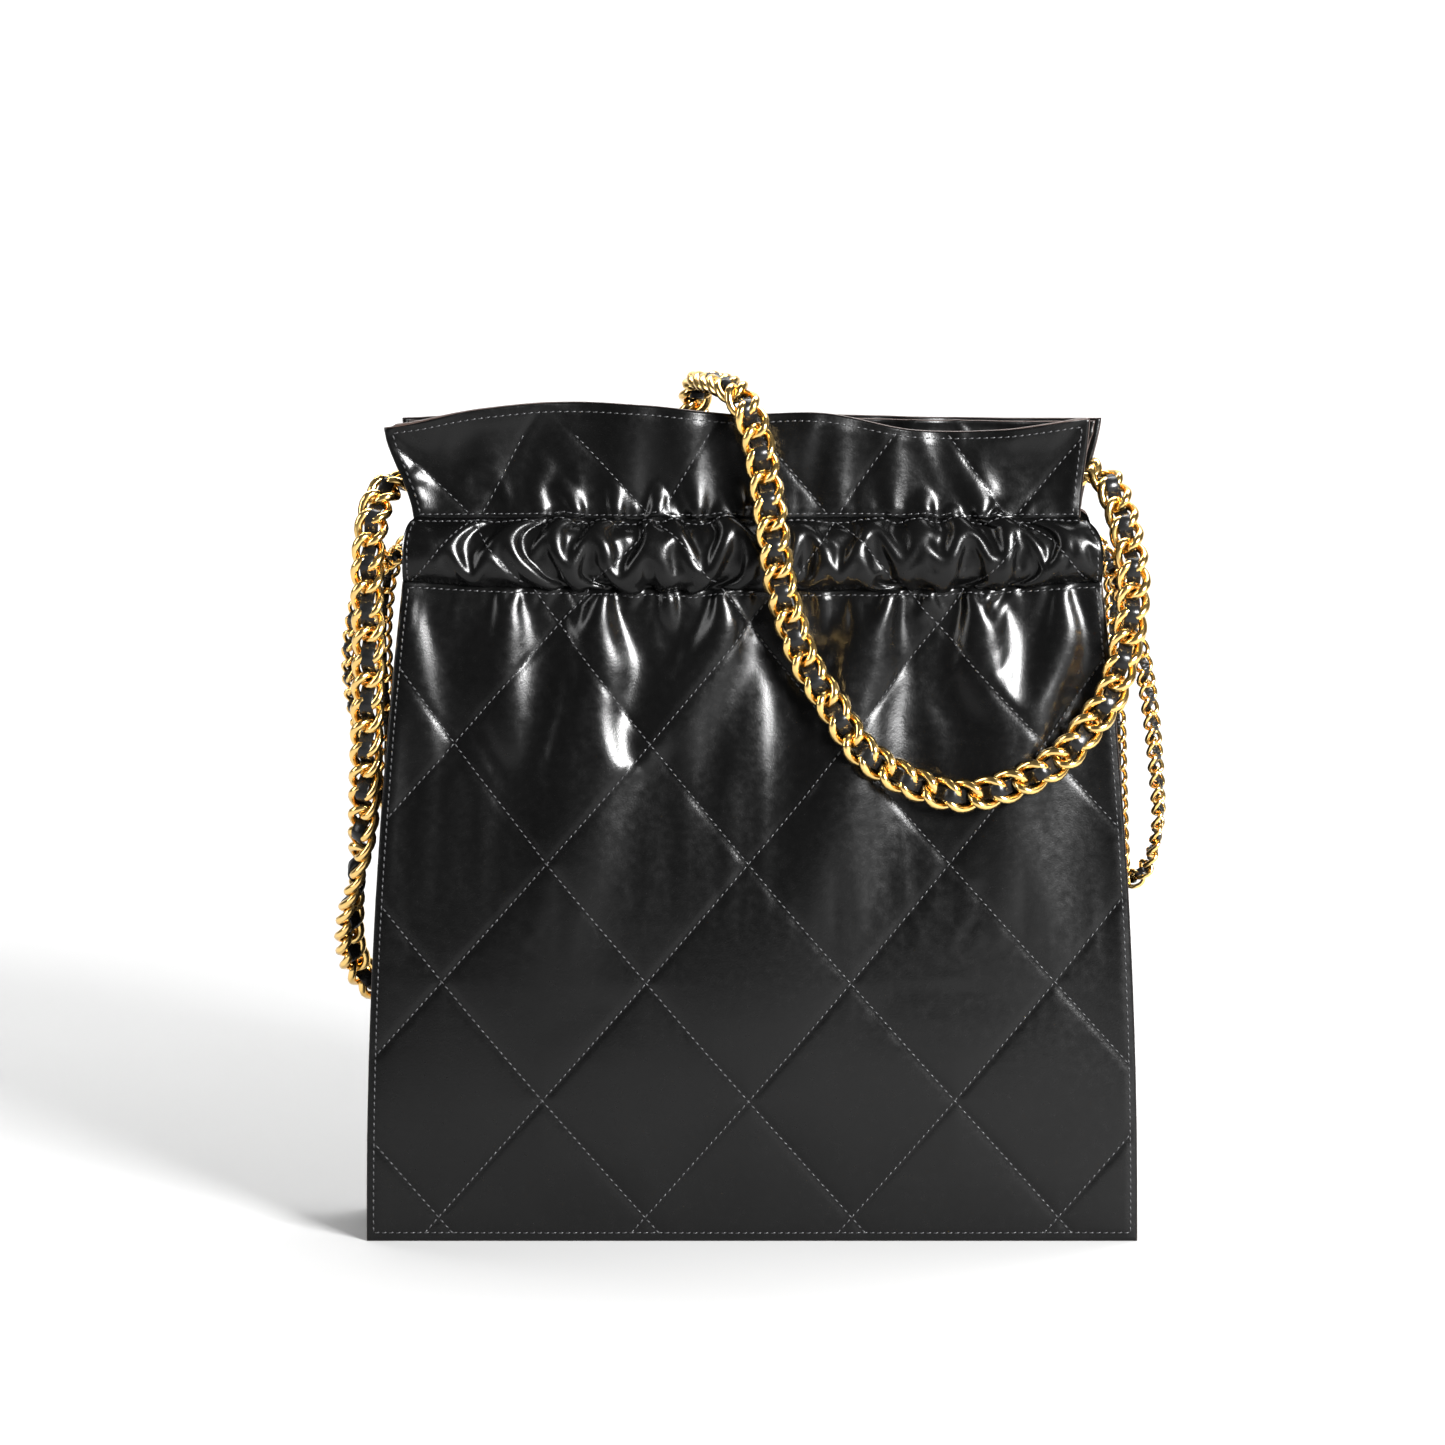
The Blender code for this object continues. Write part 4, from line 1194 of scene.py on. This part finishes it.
def make_welt():
    """The leather frame round the inside pocket's zip, sewn on the back wall."""
    welt_low, welt_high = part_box("pocket_welt")
    slot_z = (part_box("zip_tape_upper")[1][2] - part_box("zip_tape_lower")[0][2]) / 2 + 0.0004
    slot_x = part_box("zip_tape_upper")[1][0] + 0.0006
    angle = np.linspace(0, 2 * math.pi, 96, endpoint=False) + math.pi / 4
    rings = []
    for share in np.linspace(0, 1, 9):
        half_x = lerp(slot_x, welt_high[0], share)
        half_z = lerp(slot_z, (welt_high[2] - welt_low[2]) / 2, share)
        scale = 1 / np.maximum(np.abs(np.cos(angle)), np.abs(np.sin(angle)))
        x = half_x * np.cos(angle) * scale
        z = ZIP_HEIGHT + half_z * np.sin(angle) * scale
        swell = 0.0005 * math.sin(math.pi * share) ** 0.5 if 0 < share < 1 else 0.0
        rings.append(back_wall(x, z, WELT_OFFSET + 0.0008 + swell))
    behind = np.array([0.0, 0.0008, 0.0])
    rings = [rings[0] + behind, *rings, rings[-1] + behind]
    welt = add_grid("sewn_welt", np.array(rings), CALF, closed=True, body="bag_body", slot="black_calf")
    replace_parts(welt, "pocket_welt")

    def welt_face(x, z):
        points = back_wall(x, z, WELT_OFFSET + 0.0013)
        return points, np.broadcast_to(np.array([0.0, -1.0, 0.0]), points.shape)

    reach_x, reach_z = welt_high[0] - 0.0022, (welt_high[2] - welt_low[2]) / 2 - 0.0020
    rows = outline_rows(welt_face, -reach_x, reach_x, ZIP_HEIGHT - reach_z, ZIP_HEIGHT + reach_z)
    add_stitches("welt_stitches", rows, body="bag_body")


def make_tapes():
    """The two cloth tapes of the zip, each with a ridge beside the teeth."""
    for tape_name in ("lower", "upper"):
        low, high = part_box(f"zip_tape_{tape_name}")
        x = np.linspace(low[0], high[0], 160)
        z = np.linspace(low[2], high[2], 10)
        grid_x, grid_z = np.meshgrid(x, z)
        ridge = 0.00025 * np.exp(-((np.abs(grid_z - ZIP_HEIGHT) - 0.0016) / 0.0005) ** 2)
        points = back_wall(grid_x[:, ::-1], grid_z, WELT_OFFSET + 0.0006)
        points[..., 1] -= ridge
        tape = add_grid(
            f"zip_tape_{tape_name}_cloth", points, TAPE_CLOTH, body="bag_body", slot="zip_tape"
        )
        thicken(tape, 0.0005)
        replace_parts(tape, f"zip_tape_{tape_name}")


def make_pouch():
    """The pocket's cloth bag, behind the lining."""
    pouch_low, pouch_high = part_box("pocket_pouch")
    x = np.linspace(pouch_low[0], pouch_high[0], 60)[::-1]
    z = np.linspace(pouch_low[2], pouch_high[2], 50)
    grid_x, grid_z = np.meshgrid(x, z)
    points = back_wall(grid_x, grid_z, 0.0049)
    points[..., 1] -= 0.0001 * (1 + SLACK(grid_x / 0.02, grid_z / 0.02))
    pouch = add_grid("pouch_cloth", points, LINING_CLOTH, body="bag_body", slot="lining")
    thicken(pouch, 0.0004)
    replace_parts(pouch, "pocket_pouch")


def make_teeth():
    """Meshed metal teeth along the closed zip."""
    pitch = 0.0018
    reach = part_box("zip_stop_right")[0][0] - 0.001
    x = np.arange(-reach, reach, pitch / 2)
    side = np.where(np.arange(len(x)) % 2, 1.0, -1.0)
    corners = np.array(
        [(a, b, c) for a in (-1, 1) for b in (-1, 1) for c in (-1, 1)], float
    ) * np.array([pitch * 0.22, 0.00035, 0.0010])
    faces = np.array([(0, 1, 3, 2), (4, 6, 7, 5), (0, 4, 5, 1), (2, 3, 7, 6), (0, 2, 6, 4), (1, 5, 7, 3)])
    centres = back_wall(x, ZIP_HEIGHT + side * 0.0006, WELT_OFFSET + 0.0010)
    frames = np.broadcast_to(np.eye(3), (len(x), 3, 3))
    points, every = copies(corners, faces, frames, centres)
    teeth = add_mesh("zip_teeth", points, every, GOLD, body="bag_body", slot="gold_metal")
    teeth.data.shade_flat()


def make_base():
    """The leather under the bag, drawn in a little along its sewn edge."""
    low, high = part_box("base_panel")
    x = np.linspace(low[0] + 0.0002, high[0] - 0.0002, 150)
    y = np.linspace(low[1] + 0.0002, high[1] - 0.0002, 40)[::-1]
    grid_x, grid_y = np.meshgrid(x, y)
    edge = np.minimum(high[0] - np.abs(grid_x), high[1] - np.abs(grid_y))
    dip = 0.0006 * np.exp(-(((edge - 0.004) / 0.0012) ** 2))
    soft = 0.0002 * (1 + SLACK(grid_x / 0.05 + 8, grid_y / 0.02))
    points = np.stack([grid_x, grid_y, 0.0002 + dip + soft * (edge > 0.002)], -1)
    base = add_shell("sewn_base", points, 0.0020, body="bag_body", slot="black_calf")
    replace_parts(base, "base_panel")

    reach_x, reach_y = high[0] - 0.004, high[1] - 0.004
    rows = outline_rows(flat_surface(0.0008, -1, 2), -reach_x, reach_x, -reach_y, reach_y)
    add_stitches("base_stitches", rows, body="bag_body")


# ---------------------------------------------------------------- chains


def smooth_path(route, spacing=0.001):
    """Dense, evenly spaced points on the smooth curve through the route's points."""
    points = np.asarray(route, float)
    padded = np.vstack([2 * points[0] - points[1], points, 2 * points[-1] - points[-2]])
    pieces = []
    t = (np.arange(30) / 30)[:, None]
    for a, b, c, d in zip(padded, padded[1:], padded[2:], padded[3:]):
        pieces.append(curve(a, b, c, d, t))
    dense = np.vstack(pieces + [points[-1:]])
    gone = np.concatenate([[0], np.cumsum(np.linalg.norm(np.diff(dense, axis=0), axis=1))])
    count = int(round(gone[-1] / spacing))
    even = np.linspace(0, gone[-1], count + 1)
    return np.stack([np.interp(even, gone, dense[:, k]) for k in range(3)], 1), gone[-1]


CORE_X = 0.170  # the middle plane from which the chains face away ends here, and at CORE_TOP
CORE_TOP = 0.330
SMOOTHING = 10  # points to each side over which a chain's facing is evened out


def path_frames(path):
    """Rows along, across and out at each point; out points away from the bag's middle plane."""
    along = np.gradient(path, axis=0)
    along /= np.linalg.norm(along, axis=1)[:, None]
    core = path.copy()
    core[:, 0] = np.clip(core[:, 0], -CORE_X, CORE_X)
    core[:, 1] = 0.0
    core[:, 2] = np.minimum(core[:, 2], CORE_TOP)
    out = path - core
    out /= np.maximum(np.linalg.norm(out, axis=1), 1e-6)[:, None]
    window = np.ones(2 * SMOOTHING + 1) / (2 * SMOOTHING + 1)
    padded = np.pad(out, ((SMOOTHING, SMOOTHING), (0, 0)), mode="edge")
    out = np.stack([np.convolve(padded[:, k], window, mode="valid") for k in range(3)], 1)
    out -= along * np.sum(out * along, axis=1)[:, None]
    out /= np.linalg.norm(out, axis=1)[:, None]
    across = np.cross(out, along)
    return np.stack([along, across, out], 1)


def link_shape(pitch, half_length, half_width, wire, lace, steps=26, sides=10):
    """One twisted oval link: its long axis is X and it lies in the XY plane at its middle."""
    angle = np.arange(steps) * 2 * math.pi / steps
    roundness = 0.86
    x = half_length * np.sign(np.cos(angle)) * np.abs(np.cos(angle)) ** roundness
    flat_y = half_width * np.sign(np.sin(angle)) * np.abs(np.sin(angle)) ** roundness
    turn = LINK_TWIST * x / half_length
    centre = np.stack([x, flat_y * np.cos(turn), flat_y * np.sin(turn)], 1)
    along = np.roll(centre, -1, 0) - np.roll(centre, 1, 0)
    along /= np.linalg.norm(along, axis=1)[:, None]
    out = centre.copy()
    out -= along * np.sum(out * along, axis=1)[:, None]
    out /= np.linalg.norm(out, axis=1)[:, None]
    side = np.cross(along, out)
    round_angle = np.arange(sides) * 2 * math.pi / sides
    ring = (
        out[:, None] * np.cos(round_angle)[None, :, None]
        + side[:, None] * np.sin(round_angle)[None, :, None]
    )
    points = centre[:, None] + wire * ring
    faces = grid_faces(steps, sides, closed=True)
    last = (steps - 1) * sides + np.arange(sides)
    first = np.arange(sides)
    closing = np.stack([last, np.roll(last, -1), np.roll(first, -1), first], 1)
    return points.reshape(-1, 3), np.vstack([faces, closing])


def link_pitch(link, length):
    """Number of links that fill a stretch, and their exact pitch."""
    count = max(1, round(length / link["pitch"]))
    return count, length / count


def place_at(values, path_length, places):
    """Rows of values, evenly spaced along the path, at the given arc lengths."""
    index = np.clip(np.rint(places / path_length * (len(values) - 1)).astype(int), 0, len(values) - 1)
    return values[index]


def add_links(name, path, frames, length, link, first, last):
    """Links along path from arc length first to last."""
    count, pitch = link_pitch(link, last - first)
    places = first + (np.arange(count) + 0.5) * pitch
    turned = place_at(frames, length, places)
    points, faces = copies(*link_shape(**link), turned, place_at(path, length, places))
    return add_mesh(name, points, faces, GOLD, slot="chain_and_lace")


def add_lace(name, path, frames, length, link, first, last):
    """The leather lace, over one crossing of two links and under the next."""
    count, pitch = link_pitch(link, last - first)
    width, thickness = link["lace"]
    places = np.linspace(first, last, count * 10 + 1)
    weave = np.cos(math.pi * (places - first) / pitch)
    rise = LACE_RISE * link["wire"] * np.sign(weave) * np.abs(weave) ** 0.7
    turned = place_at(frames, length, places)
    centre = place_at(path, length, places) + turned[:, 2] * rise[:, None]
    corners = [(-0.5, -0.3), (-0.42, -0.5), (0.42, -0.5), (0.5, -0.3)]
    corners += [(0.5, 0.3), (0.42, 0.5), (-0.42, 0.5), (-0.5, 0.3)]
    rings = [centre + turned[:, 1] * a * width + turned[:, 2] * b * thickness for a, b in corners]
    rings = np.stack(rings, 1)
    ends = [np.broadcast_to(rings[end].mean(0), rings[end].shape)[None] for end in (0, -1)]
    points = np.concatenate([ends[0], rings, ends[1]])
    return add_grid(name, points, LACE_CALF, closed=True, slot="chain_and_lace")


def declare_chain(links, lace, node, route, path, length, diameter):
    """Hides the CAD solid that the chain stands for."""
    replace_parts(links, node)
    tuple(route[0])


def make_shoulder_chain():
    """The strap in two stretches, which meet over the bag's mouth."""
    front, front_length = smooth_path(SHOULDER_FRONT_ROUTE)
    back, back_length = smooth_path(SHOULDER_BACK_ROUTE)
    whole = np.vstack([front, back[1:]])
    frames = path_frames(whole)
    end = front_length + back_length
    for side_name, facing, first, last, route, path in (
        ("front", FRONT, 0.0, front_length, SHOULDER_FRONT_ROUTE, front),
        ("back", BACK, front_length, end, SHOULDER_BACK_ROUTE, back),
    ):
        node = f"shoulder_chain_{side_name}"
        links = add_links(f"{node}_links", whole, frames, end, SHOULDER_LINK, first, last)
        lace = add_lace(f"{node}_lace", whole, frames, end, SHOULDER_LINK, first, last)
        for piece in (links, lace):
            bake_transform(piece)
        declare_chain(links, lace, node, route, path, last - first, SHOULDER_CHAIN_WIDTH)


def make_drawstring(node, route):
    """One stretch of the thin chain and its lace."""
    path, length = smooth_path(route)
    frames = path_frames(path)
    links = add_links(f"{node}_links", path, frames, length, DRAWSTRING_LINK, 0.0, length)
    lace = add_lace(f"{node}_lace", path, frames, length, DRAWSTRING_LINK, 0.0, length)
    for piece in (links, lace):
        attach(piece, "bag_body")
    return links, lace, path, length


def make_drawstrings():
    """The slack loop at each side, and the hidden run inside each casing."""
    for side_name, route in (("right", RIGHT_LOOP_ROUTE), ("left", LEFT_LOOP_ROUTE)):
        node = f"drawstring_{side_name}_loop"
        links, lace, path, length = make_drawstring(node, route)
        declare_chain(links, lace, node, route, path, length, DRAWSTRING_WIDTH)
    for side_name, facing in (("front", FRONT), ("back", BACK)):
        node = f"drawstring_{side_name}_run"
        low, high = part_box(node)
        route = [(x, facing * CASING_Y, CASING_Z) for x in np.linspace(low[0], high[0], 6)]
        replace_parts(make_drawstring(node, route)[0], node)


# ---------------------------------------------------------------- camera, light and floor


FLOOR_FRONT = -2.6
# Painted shade: the paper's colour darkens between these depths, standing in for the dim studio that the
# leather mirrors.
FLOOR_PAINTED_SHADE = (-0.46, -0.85)  # the paper darkens between these two depths, below the camera's frame
SWEEP_Y, SWEEP_RADIUS, SWEEP_TOP = 1.6, 0.8, 3.5
SWEEP_HALF_WIDTH = 4.0
FLOOR_DROP = 0.0002  # of the paper below the bag's foot


def area_light(name, place, target, size, power):
    lamp = bpy.data.lights.new(name, "AREA")
    lamp.shape = "RECTANGLE"
    lamp.size, lamp.size_y = size
    lamp.energy = power
    obj = bpy.data.objects.new(name, lamp)
    obj.location = place
    obj.rotation_euler = (Vector(target) - Vector(place)).to_track_quat("-Z", "Y").to_euler()
    bpy.context.scene.collection.objects.link(obj)


def make_studio():
    """Pale paper that sweeps up behind the bag, four soft lamps and a dim world."""
    bend = np.linspace(0, math.pi / 2, 12)
    floor = [(y, 0.0) for y in np.linspace(FLOOR_FRONT, SWEEP_Y, 12)]
    rise = [(SWEEP_Y + SWEEP_RADIUS * math.sin(b), SWEEP_RADIUS * (1 - math.cos(b))) for b in bend]
    profile = [*floor, *rise, (SWEEP_Y + SWEEP_RADIUS, SWEEP_TOP)]
    across = (-SWEEP_HALF_WIDTH, SWEEP_HALF_WIDTH)
    points = np.array([[(x, y, z - FLOOR_DROP) for x in across] for y, z in profile])
    sweep = add_grid("studio_sweep", points, studio_paper())
    target = (0, 0, 0.2)
    area_light("key_right", (1.35, -1.85, 0.98), target, (0.85, 0.85), 300)
    area_light("side_left", (-1.8, -0.6, 0.9), target, (0.5, 1.4), 18)
    area_light("top", (0.6, 0.5, 2.2), target, (1.2, 0.9), 27)
    area_light("backdrop", (0.0, 0.9, 2.4), (0, 2.3, 0.9), (3.0, 0.8), 150)
    world = bpy.data.worlds.new("studio_world")
    world.use_nodes = True
    world.node_tree.nodes["Background"].inputs["Color"].default_value = (1, 1, 1, 1)
    world.node_tree.nodes["Background"].inputs["Strength"].default_value = 0.10
    bpy.context.scene.world = world
    bpy.context.scene.view_settings.view_transform = "Standard"


def studio_paper():
    """Pale paper with painted shade: its colour darkens in front, where the leather would mirror it, in
    place of a dim studio there.
    """
    n = Nodes("studio_paper")
    depth = n.add("ShaderNodeSeparateXYZ", Vector=n.place).outputs["Y"]
    near, far = FLOOR_PAINTED_SHADE
    painted_shade = n.add("ShaderNodeMapRange", Value=depth, From_Min=near, From_Max=far).outputs["Result"]
    cloudy = n.blend(n.noise(2, 2), (0.355, 0.355, 0.355), (0.37, 0.37, 0.37))
    return n.finish(
        # Painted shade: the paper's colour goes dark in front, in place of an unlit studio, not a darker
        # paper.
        Base_Color=n.blend(painted_shade, cloudy, (0.065, 0.065, 0.065)),
        Roughness=n.ramp(n.noise(3, 2), 0.8, 0.9),
    )


def make_camera():
    """The photo's viewing angle: straight in front and a little above."""
    elevation = math.radians(7)
    distance = 2.4
    frame_width = 0.6485
    target = Vector((-0.0134, -0.040, 0.2377))
    camera = bpy.data.cameras.new("camera")
    camera.sensor_width = 36
    camera.lens = 36 * distance / frame_width
    obj = bpy.data.objects.new("camera", camera)
    obj.location = target + distance * Vector((0, -math.cos(elevation), math.sin(elevation)))
    obj.rotation_euler = (target - obj.location).to_track_quat("-Z", "Y").to_euler()
    bpy.context.scene.collection.objects.link(obj)
    bpy.context.scene.camera = obj


# ---------------------------------------------------------------- the scene

make_camera()
make_shoulder_chain()
make_drawstrings()
for side_name, facing in (("front", FRONT), ("back", BACK)):
    make_padding(side_name, make_face(side_name, facing))
for side_name, side in (("left", LEFT), ("right", RIGHT)):
    make_gusset(side_name, side)
    make_gusset_top(side_name, side)
    make_tab(side_name, side)
    make_ring(side_name, side)
make_lining()
make_welt()
make_tapes()
make_teeth()
make_pouch()
make_base()

NODE_MATERIALS = {
    "black_calf": CALF,
    "padding": FELT,
    "lining": LINING_CLOTH,
    "board": BOARD,
    "chain_and_lace": GOLD,
    "gold_metal": GOLD,
    "zip_tape": TAPE_CLOTH,
}
for entry in frame["record"]["subparts"]:
    node = frame["nodes"][entry["node"]]
    for index in range(len(node.material_slots)):
        node.material_slots[index].material = NODE_MATERIALS[entry["material_slot"]]

make_studio()
